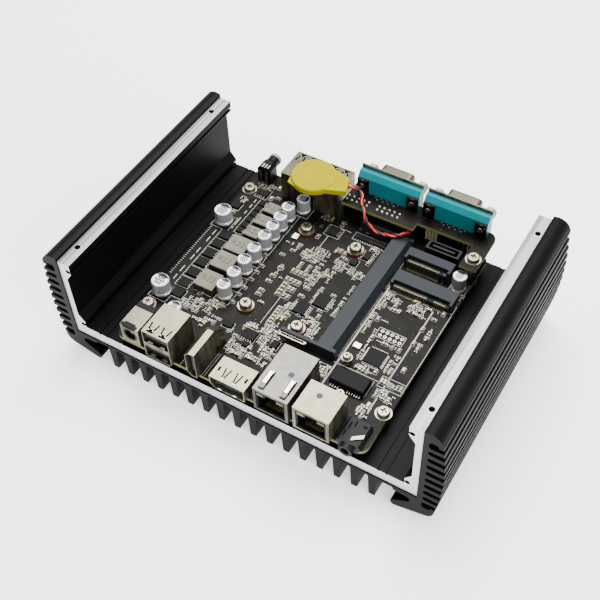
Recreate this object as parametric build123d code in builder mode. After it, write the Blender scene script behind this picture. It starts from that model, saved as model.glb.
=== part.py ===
"""Fanless industrial mini computer with its service cover and end panels off.

A finned aluminium extrusion is the case and the heat sink at once. The main board lies in it
with its processor underneath, on a block that leads the heat into the finned floor. A small
second board on the rear right carries two serial ports.

Frame: X runs across the case, Y from its front end to its rear end, Z up. The origin is under
the middle fin, halfway along the case, on the plane that the fin tips stand on.
"""
import os

from build123d import *

os.makedirs("parts", exist_ok=True)

# Case extrusion: floor, seat and walls
rear_gap = 3.6
seat_width = 166.0
seat_depth = 0.6
wall_height = 44.7
seat_drop = 1.0
floor_thickness = 6.4
side_wall = 5.3
rim = 2.3
land_width = 5.9

# Fins under the floor
fin_length = 13.3
fin_pitch = 8.0
fin_count = 17
fin_root = 3.4
fin_tip = 2.2
fin_flare = 0.9
fin_chamfer = 0.7

# Slots between the side fins
slot_pitch = 4.63
slot_count = 8
slot_height = 2.4
slot_first = 2.1
hook_height = 3.9
side_bulge = 7.5
side_top = 5.7
side_foot = 5.4

# Screw channels, floor grooves and cover holes
channel_radius = 1.1
channel_mouth = 1.3
groove_width = 0.9
groove_depth = 0.5
groove_places = (66.0, 69.6)
cover_inset = 2.3
cover_spacing_y = 99.0
tap_radius = 1.25
tap_depth = 7.0

# Main board and how it is held
board_width = 120.0
board_thickness = 1.6
board_corner = 4.0
board_setback = 0.3
standoff_height = 5.0
standoff_radius = 2.9
screw_radius = 1.2
screw_clearance = 0.4
head_radius = 2.8
head_height = 1.9
hole_inset_x = 2.5
hole_front = 20.5
hole_to_rear = 14.6
port_hole = (38.2, 19.6)

# Processor, heat block and its four screws
cpu_x = -6.7
cpu_y = 65.7
cpu_spacing_x = 25.6
cpu_spacing_y = 51.8
cpu_width = 24.0
cpu_length = 42.0
cpu_die_width = 9.0
cpu_die_length = 16.0
cpu_substrate = 0.9
cpu_die_height = 0.6
pad_thickness = 0.4
block_width = 36.0
block_length = 62.0
boss_radius = 3.2
cpu_head_radius = 2.9
cpu_head_height = 2.4
washer_radius = 3.7
washer_thickness = 0.6
fibre_radius = 4.0
fibre_thickness = 0.5

# Sheet metal and common fits
sheet = 0.4
gap = 0.15

# Power inlet
jack_x = -51.0
jack_width = 9.2
jack_height = 9.6
jack_shield_depth = 11.0
jack_depth = 14.0
jack_bore = 2.9
jack_pin = 1.0

# Double USB ports, front and rear
usb_width = 13.1
usb_height = 15.6
usb_depth = 16.6
usb_overhang = 2.1
usb_front_x = -35.4
usb_rear_x = (-34.7, -17.6)
usb_rear_overhang = 5.0
usb_band = 2.4
usb_tongue = 1.9
usb_mouth_depth = 9.0
usb_spring_x = 3.0
usb_spring_back = 3.6
usb_spring_length = 5.2

# Upright video port
video_x = -18.6
video_width = 4.9
video_height = 15.0
video_depth = 14.4
video_chamfer = 2.1
video_overhang = 2.0

# Flat video port
display_x = -1.3
display_width = 16.6
display_height = 7.0
display_depth = 11.4
display_chamfer = 2.4
display_overhang = 2.4

# Network ports
lan_height = 13.4
lan_overhang = 2.4
lan_a_x = 19.4
lan_a_width = 15.9
lan_a_depth = 24.9
lan_b_x = 37.6
lan_b_width = 16.1
lan_b_depth = 15.0
lan_mouth_width = 12.0
lan_mouth_height = 7.6
lan_mouth_depth = 12.5
lan_latch_width = 5.0
lan_latch_height = 2.0

# Sound socket, sunk into a notch in the board's front edge
audio_x = 52.6
audio_barrel = 3.0
audio_bore = 1.8
audio_width = 10.2
audio_notch = 8.8
audio_depth = 11.6
audio_height = 2.6
audio_sunk = 2.4
audio_nose = 2.4

# Power button, rear left
button_x = -54.0
button_width = 7.2
button_depth = 5.8
button_height = 9.0
button_rear_gap = 1.0
button_cap_radius = 2.9
button_cap_length = 4.6
button_stem_radius = 1.4
button_axis = 6.0
button_travel = 0.5

# Second board with the serial ports
link_height = 10.0
serial_middle = 25.35
serial_edge_left = 2.5
serial_edge_right = 4.0
serial_to_rear = 11.0
serial_step_x = 26.8
serial_step = 4.3
tab_width = 7.9
tab_reach = 9.3
serial_overlap = 3.6
serial_corner = 4.0
serial_width = 30.8
serial_gap = 2.3
serial_depth = 4.2
serial_face = 8.4
serial_top = 10.8
serial_slope = 1.8
serial_axis = 6.3
flange_height = 12.5
flange_thickness = 0.8
dshell_width = 16.9
dshell_height = 8.4
dshell_length = 5.9
dshell_wall = 0.5
dshell_slant = 1.4
serial_pin = 0.5
pin_pitch = 2.77
pin_row = 2.84
post_inset = 2.905
post_radius = 2.75
post_length = 5.5
post_bore = 1.2
bracket_width = 5.6
bracket_height = 8.0
bracket_sheet = 0.8
rivet_radius = 2.2
rivet_height = 1.2

# Memory socket
memory_left = 19.1
memory_width = 8.9
memory_bar = 6.0
memory_height = 5.2
memory_low = 2.2
memory_front = 34.2
memory_length = 71.0
memory_to_rear = 11.9
memory_arm = 17.0
memory_arm_width = 1.7
memory_slot = 1.1
memory_slot_z = 3.3
memory_key = 43.0
latch_length = 12.0
latch_width = 1.8
latch_sheet = 0.45
latch_height = 3.0
latch_reach = 4.6
latch_lift = 1.4
latch_pin = 0.6

# Card sockets and their standoff
m2_x = 39.9
m2_width = 21.9
m2_to_rear = 23.2
m2_depth = 6.6
m2_height = 6.6
pcie_x = 44.4
pcie_width = 29.0
pcie_to_rear = 38.1
pcie_depth = 8.4
pcie_height = 5.2
card_slot = 1.2
jaw_thickness = 1.2
jaw_setback = 2.0
card_key_width = 1.6
spacer_x = 32.6
spacer_y = 35.6
spacer_radius = 2.4
spacer_height = 3.0

# Disk socket
sata_x = 42.9
sata_to_rear = 12.2
sata_width = 15.6
sata_depth = 5.4
sata_height = 8.0

# Capacitors, inductors and packages
big_can_radius = 4.0
big_can_height = 7.0
small_can_radius = 3.15
small_can_height = 7.7
can_base = 0.9
big_coil = 10.0
big_coil_height = 4.1
small_coil_x = 7.2
small_coil_y = 6.4
small_coil_height = 3.0
mosfet_x = 5.4
mosfet_y = 4.8
mosfet_height = 1.0
driver_size = 3.1
chip_height = 1.2
magnetics_x = 39.3
magnetics_y = 26.3
magnetics_width = 15.6
magnetics_length = 7.4
magnetics_height = 3.5
lead_width = 0.4

# Coin cell in its sleeve and the lead that joins it to the board
cell_x = -25.0
cell_to_rear = 8.7
cell_radius = 10.6
cell_thickness = 3.7
sleeve_front_corner = (-7.1, 11.1)
sleeve_rear_corner = (-9.6, 2.9)
lead_radius = 0.95
plug_x = 23.6
plug_to_rear = 3.8
plug_width = 4.4
plug_depth = 3.4
plug_height = 5.8
plug_entry = 4.6

# Lengths, levels and edges that follow from the sizes above
board_length = memory_front + memory_length + memory_to_rear
chassis_length = board_setback + board_length + rear_gap
floor_under = fin_length
floor_top = floor_under + floor_thickness
seat_base = floor_under + seat_drop
land_z = seat_base + wall_height
seat_half = seat_width / 2
root_x = seat_half + rim
wall_x = root_x - side_wall
land_x = seat_half - land_width
front_y = -chassis_length / 2
board_front = front_y + board_setback
board_rear = board_front + board_length
board_under = floor_top + standoff_height
board_top = board_under + board_thickness
serial_under = board_top + link_height
serial_board_top = serial_under + board_thickness
serial_rear = board_rear + serial_overlap
serial_ports_x = [serial_middle + side * (serial_width + serial_gap) / 2 for side in (-1, 1)]
post_spacing = serial_width - 2 * post_inset
serial_left = serial_ports_x[0] - serial_width / 2 - serial_edge_left
serial_right = serial_ports_x[1] + serial_width / 2 + serial_edge_right
serial_edge = board_rear - serial_to_rear
tab_left = serial_right - tab_width
tab_edge = serial_edge - tab_reach
tap_x = seat_half - cover_inset

hole_x = board_width / 2 - hole_inset_x
hole_rear = board_length - hole_to_rear
corner_holes = [(x, board_front + y) for x in (-hole_x, hole_x) for y in (hole_front, hole_rear)]
single_board_holes = corner_holes[:3]
shared_hole = corner_holes[3]
cpu_centre = (cpu_x, board_front + cpu_y)


def at(x, y):
    """A place on the boards: x across, y back from the main board's front edge."""
    return (x, board_front + y)


def from_rear(x, distance):
    """A place on the boards: x across, distance forward from the main board's rear edge."""
    return (x, board_rear - distance)


def upright(x, y, z, facing):
    """A plane that faces the front (-1) or the rear (+1) of the case, with its local y up."""
    return Plane(origin=(x, y, z), x_dir=(-facing, 0, 0), z_dir=(0, facing, 0))


def sideways(x, y, z):
    """A plane for a side profile, with its local x toward the rear and its local y up."""
    return Plane(origin=(x, y, z), x_dir=(0, 1, 0), z_dir=(1, 0, 0))


def blocks(places, width, length, height):
    """Separate low blocks of one size that stand on the main board."""
    with BuildPart() as group:
        with BuildSketch(Plane.XY.offset(board_top)):
            with Locations(*places):
                Rectangle(width, length)
        extrude(amount=height)
    return group


# Case: one extrusion with its floor, walls, rails, side fins and floor fins, then machined
foot_z = seat_base - 10.5
blade_x = land_x - 4.7
slot_levels = [seat_base + slot_first + i * slot_pitch for i in range(slot_count)]
top_hook = slot_levels[-1] + slot_pitch + 0.4
low_hook = slot_levels[0] - slot_pitch - 0.4
slot_reach = 20.0
with BuildPart() as chassis:
    with BuildSketch(Plane.XZ):
        with BuildLine():
            inner = Polyline(
                (0, floor_top),
                (land_x, floor_top),
                (land_x, floor_top + 3.5),
                (wall_x, floor_top + 7.2),
                (wall_x, land_z - 9.4),
                (land_x, land_z - 5.3),
                (land_x, land_z),
                (seat_half, land_z),
                (seat_half, land_z + 1.5),
            )
            rail_end = (root_x + side_top - 0.1, land_z - 2.1)
            rail = ThreePointArc(inner @ 1, (root_x + 2.4, land_z + 1.5), rail_end)
            lip_end = (root_x + side_top, land_z - 3.5)
            lip = ThreePointArc(rail @ 1, (root_x + side_top + 0.25, land_z - 2.8), lip_end)
            side_middle = (root_x + side_bulge, (land_z + seat_base) / 2 - 6.0)
            side_end = (root_x + side_foot, seat_base - 5.6)
            side = ThreePointArc(lip @ 1, side_middle, side_end)
            heel = ThreePointArc(side @ 1, (root_x + 4.2, foot_z + 1.6), (root_x + 1.2, foot_z))
            sole = Line(heel @ 1, (blade_x + 1.6, foot_z - 3.2))
            toe = ThreePointArc(sole @ 1, (blade_x + 0.2, foot_z - 2.4), (blade_x, foot_z - 0.2))
            scoop = Line(toe @ 1, (blade_x + 6.2, foot_z + 3.9))
            pocket_end = (blade_x + 6.6, foot_z + 7.6)
            pocket = ThreePointArc(scoop @ 1, (blade_x + 7.9, foot_z + 6.0), pocket_end)
            Polyline(pocket @ 1, (blade_x + 0.8, foot_z + 8.0), (blade_x, floor_under), (0, floor_under))
            Line((0, floor_under), (0, floor_top))
        make_face()
        with Locations(*[(root_x + slot_reach / 2, z) for z in slot_levels]):
            SlotOverall(slot_reach, slot_height, mode=Mode.SUBTRACT)
        for level, mouth in ((top_hook, top_hook - 0.7), (low_hook, low_hook + 0.7)):
            with Locations((root_x + hook_height / 2, level)):
                RectangleRounded(hook_height, hook_height, 1.2, mode=Mode.SUBTRACT)
            with Locations((root_x + 1.0 + slot_reach / 2, mouth)):
                Rectangle(slot_reach, slot_height, mode=Mode.SUBTRACT)
        for level in (floor_top + 1.5, land_z - 3.9):
            with Locations((land_x + channel_radius + 0.3, level)):
                Circle(channel_radius, mode=Mode.SUBTRACT)
            with Locations((land_x, level)):
                Rectangle(2 * channel_radius, channel_mouth, mode=Mode.SUBTRACT)
        with Locations(*[(x, floor_top) for x in groove_places]):
            Rectangle(groove_width, 2 * groove_depth, mode=Mode.SUBTRACT)
        mirror(about=Plane.YZ)
        fin_sides = [
            (fin_root / 2 + fin_flare, floor_under + 0.2),
            (fin_root / 2, floor_under - fin_flare),
            (fin_tip / 2, fin_chamfer),
            (fin_tip / 2 - fin_chamfer, 0),
        ]
        with GridLocations(fin_pitch, 1, fin_count, 1):
            Polygon(*fin_sides, *[(-x, z) for x, z in reversed(fin_sides)], align=None)
    extrude(amount=chassis_length / 2, both=True)
    for facing in (-1, 1):
        with BuildSketch(upright(0, facing * (chassis_length / 2 - seat_depth), seat_base, facing)):
            Rectangle(seat_width, wall_height, align=(Align.CENTER, Align.MIN))
        extrude(amount=seat_depth, mode=Mode.SUBTRACT)
    with BuildSketch(Plane.XY.offset(land_z)):
        with GridLocations(2 * tap_x, cover_spacing_y, 2, 2):
            Circle(tap_radius)
    extrude(amount=-tap_depth, mode=Mode.SUBTRACT)
chassis.part.label = "chassis"
export_step(chassis.part, "parts/chassis.step")

# Main board with its screw holes and the notch for the sound socket
with BuildPart() as main_board:
    with BuildSketch(Plane.XY.offset(board_under)):
        with Locations((0, board_front + board_length / 2)):
            RectangleRounded(board_width, board_length, board_corner)
        with Locations(*corner_holes, at(*port_hole)):
            Circle(screw_radius + screw_clearance, mode=Mode.SUBTRACT)
        with Locations(cpu_centre):
            with GridLocations(cpu_spacing_x, cpu_spacing_y, 2, 2):
                Circle(screw_radius + screw_clearance, mode=Mode.SUBTRACT)
        with Locations(at(audio_x, 0)):
            notch_length = 2 * (audio_depth - 1.0)
            Rectangle(audio_notch, notch_length, mode=Mode.SUBTRACT)
    extrude(amount=board_thickness)
main_board.part.label = "main_board"
export_step(main_board.part, "parts/main_board.step")

# Hexagon pillars between the case floor and the main board
with BuildPart() as board_standoffs:
    with BuildSketch(Plane.XY.offset(floor_top)):
        with Locations(*corner_holes, at(*port_hole)):
            RegularPolygon(standoff_radius, 6)
            Circle(screw_radius + 0.05, mode=Mode.SUBTRACT)
    extrude(amount=standoff_height)
board_standoffs.part.label = "board_standoffs"
export_step(board_standoffs.part, "parts/board_standoffs.step")


def pan_screws(places, seat, reach, radius, height):
    """Pan-head screws with a cross recess, their heads seated on one level."""
    with BuildPart() as screws:
        with BuildSketch(Plane.XY.offset(seat)):
            with Locations(*places):
                Circle(radius)
        extrude(amount=height)
        crowns = screws.faces().filter_by(Axis.Z).sort_by(Axis.Z)[-len(places):]
        fillet(crowns.edges(), height * 0.35)
        with BuildSketch(Plane.XY.offset(seat + height)):
            with Locations(*places):
                Rectangle(radius, radius * 0.28)
                Rectangle(radius * 0.28, radius)
        extrude(amount=-height * 0.5, mode=Mode.SUBTRACT)
        with BuildSketch(Plane.XY.offset(seat)):
            with Locations(*places):
                Circle(screw_radius)
        extrude(amount=-reach)
    return screws


board_screws = pan_screws(single_board_holes, board_top, board_thickness + 4.0, head_radius, head_height)
board_screws.part.label = "board_screws"
export_step(board_screws.part, "parts/board_screws.step")

# Processor package under the board, its soft pad and the block that leads the heat to the floor
cpu_bottom = board_under - cpu_substrate - cpu_die_height
block_top = cpu_bottom - pad_thickness
with BuildPart() as processor:
    with BuildSketch(Plane.XY.offset(board_under - cpu_substrate)):
        with Locations(cpu_centre):
            Rectangle(cpu_width, cpu_length)
    extrude(amount=cpu_substrate)
    with BuildSketch(Plane.XY.offset(cpu_bottom)):
        with Locations(cpu_centre):
            Rectangle(cpu_die_width, cpu_die_length)
    extrude(amount=cpu_die_height)
processor.part.label = "processor"
export_step(processor.part, "parts/processor.step")

with BuildPart() as thermal_pad:
    with BuildSketch(Plane.XY.offset(block_top)):
        with Locations(cpu_centre):
            Rectangle(cpu_die_width + 6.0, cpu_die_length + 6.0)
    extrude(amount=pad_thickness)
thermal_pad.part.label = "thermal_pad"
export_step(thermal_pad.part, "parts/thermal_pad.step")

with BuildPart() as heat_block:
    with BuildSketch(Plane.XY.offset(floor_top)):
        with Locations(cpu_centre):
            RectangleRounded(block_width, block_length, 3.0)
    extrude(amount=block_top - floor_top)
    with BuildSketch(Plane.XY.offset(block_top)):
        with Locations(cpu_centre):
            with GridLocations(cpu_spacing_x, cpu_spacing_y, 2, 2):
                Circle(boss_radius)
    extrude(amount=board_under - block_top)
    with BuildSketch(Plane.XY.offset(board_under)):
        with Locations(cpu_centre):
            with GridLocations(cpu_spacing_x, cpu_spacing_y, 2, 2):
                Circle(screw_radius + 0.05)
    extrude(amount=-4.2, mode=Mode.SUBTRACT)
heat_block.part.label = "heat_block"
export_step(heat_block.part, "parts/heat_block.step")

cpu_holes = [
    (cpu_centre[0] + i * cpu_spacing_x / 2, cpu_centre[1] + j * cpu_spacing_y / 2)
    for i in (-1, 1)
    for j in (-1, 1)
]
fibre_top = board_top + fibre_thickness
washer_top = fibre_top + washer_thickness
with BuildPart() as fibre_washers:
    with BuildSketch(Plane.XY.offset(board_top)):
        with Locations(*cpu_holes):
            Circle(fibre_radius)
            Circle(screw_radius + screw_clearance, mode=Mode.SUBTRACT)
    extrude(amount=fibre_thickness)
fibre_washers.part.label = "fibre_washers"
export_step(fibre_washers.part, "parts/fibre_washers.step")

with BuildPart() as screw_washers:
    with BuildSketch(Plane.XY.offset(fibre_top)):
        with Locations(*cpu_holes):
            Circle(washer_radius)
            Circle(screw_radius + screw_clearance, mode=Mode.SUBTRACT)
    extrude(amount=washer_thickness)
screw_washers.part.label = "screw_washers"
export_step(screw_washers.part, "parts/screw_washers.step")

cpu_reach = washer_top - board_under + 3.5
cpu_screws = pan_screws(cpu_holes, washer_top, cpu_reach, cpu_head_radius, cpu_head_height)
cpu_screws.part.label = "cpu_screws"
export_step(cpu_screws.part, "parts/cpu_screws.step")

# Power inlet: a moulded body in a folded shield, with a round socket and a centre pin
jack_face = board_front
jack_axis = board_top + jack_height / 2
with BuildPart() as power_inlet_shield:
    with BuildSketch(upright(jack_x, jack_face, board_top, -1)):
        Rectangle(jack_width, jack_height, align=(Align.CENTER, Align.MIN))
    extrude(amount=-jack_shield_depth)
    with BuildSketch(upright(jack_x, jack_face + sheet, board_top, -1)):
        Rectangle(jack_width - 2 * sheet, jack_height - sheet, align=(Align.CENTER, Align.MIN))
    extrude(amount=-jack_shield_depth, mode=Mode.SUBTRACT)
    with BuildSketch(upright(jack_x, jack_face, jack_axis, -1)):
        Circle(jack_bore)
        with Locations((0, jack_height / 2)):
            Rectangle(jack_width * 0.66, 2 * 1.0)
    extrude(amount=-1.6, mode=Mode.SUBTRACT)
power_inlet_shield.part.label = "power_inlet_shield"
export_step(power_inlet_shield.part, "parts/power_inlet_shield.step")

with BuildPart() as power_inlet_body:
    with BuildSketch(upright(jack_x, jack_face + sheet, board_top, -1)):
        Rectangle(jack_width - 2 * sheet, jack_height - sheet, align=(Align.CENTER, Align.MIN))
    extrude(amount=-(jack_shield_depth - sheet))
    with BuildSketch(upright(jack_x, jack_face + jack_shield_depth, board_top, -1)):
        Rectangle(jack_width, jack_height, align=(Align.CENTER, Align.MIN))
    extrude(amount=-(jack_depth - jack_shield_depth))
    with BuildSketch(upright(jack_x, jack_face + sheet, jack_axis, -1)):
        Circle(jack_bore)
    extrude(amount=-(jack_depth - 4.0), mode=Mode.SUBTRACT)
power_inlet_body.part.label = "power_inlet_body"
export_step(power_inlet_body.part, "parts/power_inlet_body.step")

with BuildPart() as power_inlet_pin:
    with BuildSketch(upright(jack_x, jack_face + sheet + jack_depth - 4.0, jack_axis, -1)):
        Circle(jack_pin)
    extrude(amount=jack_depth - 5.2)
    fillet(power_inlet_pin.faces().sort_by(Axis.Y)[0].edges(), jack_pin * 0.6)
power_inlet_pin.part.label = "power_inlet_pin"
export_step(power_inlet_pin.part, "parts/power_inlet_pin.step")


def usb_shield(x, face_y, facing):
    """The folded shield of a double USB port, with its middle band, lip and two top springs."""
    inside = usb_width - 2 * sheet
    with BuildPart() as shield:
        with BuildSketch(upright(x, face_y, board_top, facing)):
            Rectangle(usb_width, usb_height, align=(Align.CENTER, Align.MIN))
        extrude(amount=-usb_depth)
        with BuildSketch(upright(x, face_y, board_top + sheet, facing)):
            Rectangle(inside, usb_height - 2 * sheet, align=(Align.CENTER, Align.MIN))
        extrude(amount=-(usb_depth - sheet), mode=Mode.SUBTRACT)
        with BuildSketch(upright(x, face_y, board_top + usb_height / 2, facing)):
            Rectangle(inside, usb_band)
        extrude(amount=-usb_mouth_depth)
        with BuildSketch(upright(x, face_y, board_top, facing)):
            Rectangle(inside, sheet, align=(Align.CENTER, Align.MIN))
        extrude(amount=0.5)
        spring_y = face_y - facing * usb_spring_back
        with BuildSketch(Plane.XY.offset(board_top + usb_height)):
            with Locations((x - usb_spring_x, spring_y), (x + usb_spring_x, spring_y)):
                Trapezoid(4.0, usb_spring_length, 77, rotation=180 if facing < 0 else 0)
            tongue_y = spring_y - facing * 0.7
            with Locations((x - usb_spring_x, tongue_y), (x + usb_spring_x, tongue_y)):
                Rectangle(1.5, usb_spring_length, mode=Mode.SUBTRACT)
        extrude(amount=-sheet, mode=Mode.SUBTRACT)
    return shield


def usb_insert(x, face_y, facing):
    """The moulded insert of a double USB port: a rear block and the tongue of each port."""
    inside = usb_width - 2 * sheet
    port = (usb_height - usb_band) / 2
    rear = usb_depth - usb_mouth_depth - sheet
    with BuildPart() as insert:
        with BuildSketch(upright(x, face_y - facing * usb_mouth_depth, board_top + sheet, facing)):
            Rectangle(inside, usb_height - 2 * sheet, align=(Align.CENTER, Align.MIN))
        extrude(amount=-rear)
        tongue_z = port / 2 + sheet
        middles = (board_top + tongue_z + 0.6, board_top + usb_height - tongue_z + 0.6)
        for middle in middles:
            with BuildSketch(upright(x, face_y - facing * usb_mouth_depth, middle, facing)):
                Rectangle(inside - 1.2, usb_tongue)
            extrude(amount=usb_mouth_depth - 1.0)
    return insert


usb_face = board_front - usb_overhang
usb_rear_face = board_rear + usb_rear_overhang
usb_front_shield = usb_shield(usb_front_x, usb_face, -1)
usb_front_shield.part.label = "usb_front_shield"
export_step(usb_front_shield.part, "parts/usb_front_shield.step")
usb_front_insert = usb_insert(usb_front_x, usb_face, -1)
usb_front_insert.part.label = "usb_front_insert"
export_step(usb_front_insert.part, "parts/usb_front_insert.step")
rear_shield_pair = [usb_shield(x, usb_rear_face, 1) for x in usb_rear_x]
rear_insert_pair = [usb_insert(x, usb_rear_face, 1) for x in usb_rear_x]
with BuildPart() as usb_rear_shields:
    add([shield.part for shield in rear_shield_pair])
usb_rear_shields.part.label = "usb_rear_shields"
export_step(usb_rear_shields.part, "parts/usb_rear_shields.step")
with BuildPart() as usb_rear_inserts:
    add([insert.part for insert in rear_insert_pair])
usb_rear_inserts.part.label = "usb_rear_inserts"
export_step(usb_rear_inserts.part, "parts/usb_rear_inserts.step")

# Upright video port: a shell with two slanted corners around a tongue
video_face = board_front - video_overhang
video_outline = [
    (video_width / 2, 0),
    (video_width / 2, video_height),
    (video_chamfer - video_width / 2, video_height),
    (-video_width / 2, video_height - video_chamfer),
    (-video_width / 2, video_chamfer),
    (video_chamfer - video_width / 2, 0),
]
with BuildPart() as video_port_shell:
    with BuildSketch(upright(video_x, video_face, board_top, -1)):
        Polygon(*video_outline, align=None)
        offset(amount=-sheet, mode=Mode.SUBTRACT)
    extrude(amount=-video_depth)
    with BuildSketch(upright(video_x, video_face + video_depth, board_top, -1)):
        Polygon(*video_outline, align=None)
    extrude(amount=sheet)
video_port_shell.part.label = "video_port_shell"
export_step(video_port_shell.part, "parts/video_port_shell.step")

with BuildPart() as video_port_insert:
    insert_depth = video_depth - 8.0
    with BuildSketch(upright(video_x, video_face + video_depth - sheet, board_top, -1)):
        Polygon(*video_outline, align=None)
        offset(amount=-sheet, mode=Mode.REPLACE)
    extrude(amount=insert_depth)
    tongue_face = video_face + video_depth - sheet - insert_depth
    with BuildSketch(upright(video_x + 0.3, tongue_face, board_top + video_height / 2, -1)):
        Rectangle(1.3, video_height - 4.6)
    extrude(amount=tongue_face - video_face - 1.4)
video_port_insert.part.label = "video_port_insert"
export_step(video_port_insert.part, "parts/video_port_insert.step")

# Flat video port: the same kind of shell lying down, with one slanted corner and two top springs
display_face = board_front - display_overhang
display_half = display_width / 2
display_outline = [
    (display_half, 0),
    (display_half, display_height),
    (-display_half, display_height),
    (-display_half, display_chamfer),
    (display_chamfer - display_half, 0),
]
with BuildPart() as display_port_shell:
    with BuildSketch(upright(display_x, display_face, board_top, -1)):
        Polygon(*display_outline, align=None)
        offset(amount=-sheet, mode=Mode.SUBTRACT)
    extrude(amount=-display_depth)
    with BuildSketch(upright(display_x, display_face + display_depth, board_top, -1)):
        Polygon(*display_outline, align=None)
    extrude(amount=sheet)
    springs_x = [display_x + side * 2.7 for side in (-1, 1)]
    slit_lean = 11
    slot_places = [(display_x + side * 6.6, display_face + 5.6) for side in (-1, 1)]
    with BuildSketch(Plane.XY.offset(board_top + display_height)):
        for side in (-1, 1):
            with Locations(*[(x + side * 0.8, display_face + 4.2) for x in springs_x]):
                Rectangle(0.45, 5.0, rotation=-side * slit_lean)
        with Locations(*slot_places):
            SlotOverall(2.8, 0.8, rotation=90)
    extrude(amount=-sheet, mode=Mode.SUBTRACT)
display_port_shell.part.label = "display_port_shell"
export_step(display_port_shell.part, "parts/display_port_shell.step")

with BuildPart() as display_port_insert:
    back = display_depth - 6.5
    with BuildSketch(upright(display_x, display_face + display_depth - sheet, board_top, -1)):
        Polygon(*display_outline, align=None)
        offset(amount=-sheet, mode=Mode.REPLACE)
    extrude(amount=back)
    tongue_y = display_face + display_depth - sheet - back
    with BuildSketch(upright(display_x, tongue_y, board_top + display_height * 0.45, -1)):
        Rectangle(display_width - 4.4, 1.5)
    extrude(amount=tongue_y - display_face - 1.2)
display_port_insert.part.label = "display_port_insert"
export_step(display_port_insert.part, "parts/display_port_insert.step")

# Network ports: a moulded housing with the stepped mouth of the plug, in a folded shield
lan_face = board_front - lan_overhang
mouth_base = board_top + 1.6


def lan_shield(x, width, depth, fingers):
    """The folded shield, open in front around the moulding, with its raised spring fingers."""
    with BuildPart() as shield:
        with BuildSketch(upright(x, lan_face, board_top, -1)):
            Rectangle(width, lan_height, align=(Align.CENTER, Align.MIN))
        extrude(amount=-depth)
        with BuildSketch(upright(x, lan_face + sheet, board_top, -1)):
            Rectangle(width - 2 * sheet, lan_height - sheet, align=(Align.CENTER, Align.MIN))
        extrude(amount=-(depth - 2 * sheet), mode=Mode.SUBTRACT)
        with BuildSketch(upright(x, lan_face, mouth_base - 0.6, -1)):
            Rectangle(width - 2.6, lan_height - 2.2, align=(Align.CENTER, Align.MIN))
        extrude(amount=-sheet, mode=Mode.SUBTRACT)
        for finger_x in fingers:
            with BuildSketch(sideways(x + finger_x, lan_face, board_top + lan_height)):
                Polygon((1.1, 0), (8.7, 0), (3.8, 0.7), (1.5, 0.9), align=None)
            extrude(amount=1.1, both=True)
    return shield


def lan_housing(x, width, depth):
    """The moulding with the stepped mouth, closed behind."""
    with BuildPart() as housing:
        with BuildSketch(upright(x, lan_face + sheet, board_top, -1)):
            Rectangle(width - 2 * sheet, lan_height - sheet, align=(Align.CENTER, Align.MIN))
        extrude(amount=-(depth - 2 * sheet))
        with BuildSketch(upright(x, lan_face + sheet, mouth_base, -1)):
            Rectangle(lan_mouth_width, lan_mouth_height, align=(Align.CENTER, Align.MIN))
            with Locations((0, lan_mouth_height)):
                Rectangle(lan_latch_width, lan_latch_height, align=(Align.CENTER, Align.MIN))
        extrude(amount=-lan_mouth_depth, mode=Mode.SUBTRACT)
    return housing


lan_a_shield = lan_shield(lan_a_x, lan_a_width, lan_a_depth, (-4.9, 4.9))
lan_a_shield.part.label = "lan_a_shield"
export_step(lan_a_shield.part, "parts/lan_a_shield.step")
lan_a_housing = lan_housing(lan_a_x, lan_a_width, lan_a_depth)
lan_a_housing.part.label = "lan_a_housing"
export_step(lan_a_housing.part, "parts/lan_a_housing.step")
lan_b_shield = lan_shield(lan_b_x, lan_b_width, lan_b_depth, ())
lan_b_shield.part.label = "lan_b_shield"
export_step(lan_b_shield.part, "parts/lan_b_shield.step")
lan_b_housing = lan_housing(lan_b_x, lan_b_width, lan_b_depth)
lan_b_housing.part.label = "lan_b_housing"
export_step(lan_b_housing.part, "parts/lan_b_housing.step")

# Gold springs of both network ports, rising from the floor of each mouth to its rear wall
contact_pitch = 1.02
contact_root = lan_face + sheet + lan_mouth_depth
with BuildPart() as lan_contacts:
    for port_x in (lan_a_x, lan_b_x):
        for i in range(8):
            contact_x = port_x + (i - 3.5) * contact_pitch
            with BuildSketch(sideways(contact_x, contact_root, mouth_base)):
                Polygon((-10.6, 0), (-9.6, 0), (0, 2.75), (0, 3.15), align=None)
            extrude(amount=lead_width / 2, both=True)
lan_contacts.part.label = "lan_contacts"
export_step(lan_contacts.part, "parts/lan_contacts.step")

# Sound socket: a low moulding sunk into the board, with its round nose and a contact spring
with BuildPart() as audio_socket:
    with BuildSketch(Plane.XY.offset(board_top)):
        with Locations(at(audio_x, audio_depth / 2)):
            Rectangle(audio_width, audio_depth)
    extrude(amount=audio_height)
    top_edges = audio_socket.faces().sort_by(Axis.Z)[-1].edges().filter_by(Axis.Y)
    chamfer(top_edges, 0.8)
    with BuildSketch(Plane.XY.offset(board_top)):
        with Locations(at(audio_x, (audio_depth - 1.2) / 2)):
            Rectangle(audio_notch - 2 * gap, audio_depth - 1.2)
    extrude(amount=-audio_sunk)
    with BuildSketch(upright(audio_x, board_front, board_top, -1)):
        Circle(audio_barrel)
    extrude(amount=audio_nose)
    with BuildSketch(upright(audio_x, board_front - audio_nose, board_top, -1)):
        Circle(audio_bore)
    extrude(amount=-(audio_nose + audio_depth - 1.4), mode=Mode.SUBTRACT)
audio_socket.part.label = "audio_socket"
export_step(audio_socket.part, "parts/audio_socket.step")

with BuildPart() as audio_spring:
    spring_plane = Plane.XY.offset(board_top + audio_height)
    with BuildSketch(spring_plane):
        with Locations(at(audio_x + 1.4, audio_depth * 0.4)):
            Rectangle(4.6, 1.5, rotation=35)
    extrude(amount=0.35)
audio_spring.part.label = "audio_spring"
export_step(audio_spring.part, "parts/audio_spring.step")

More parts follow.
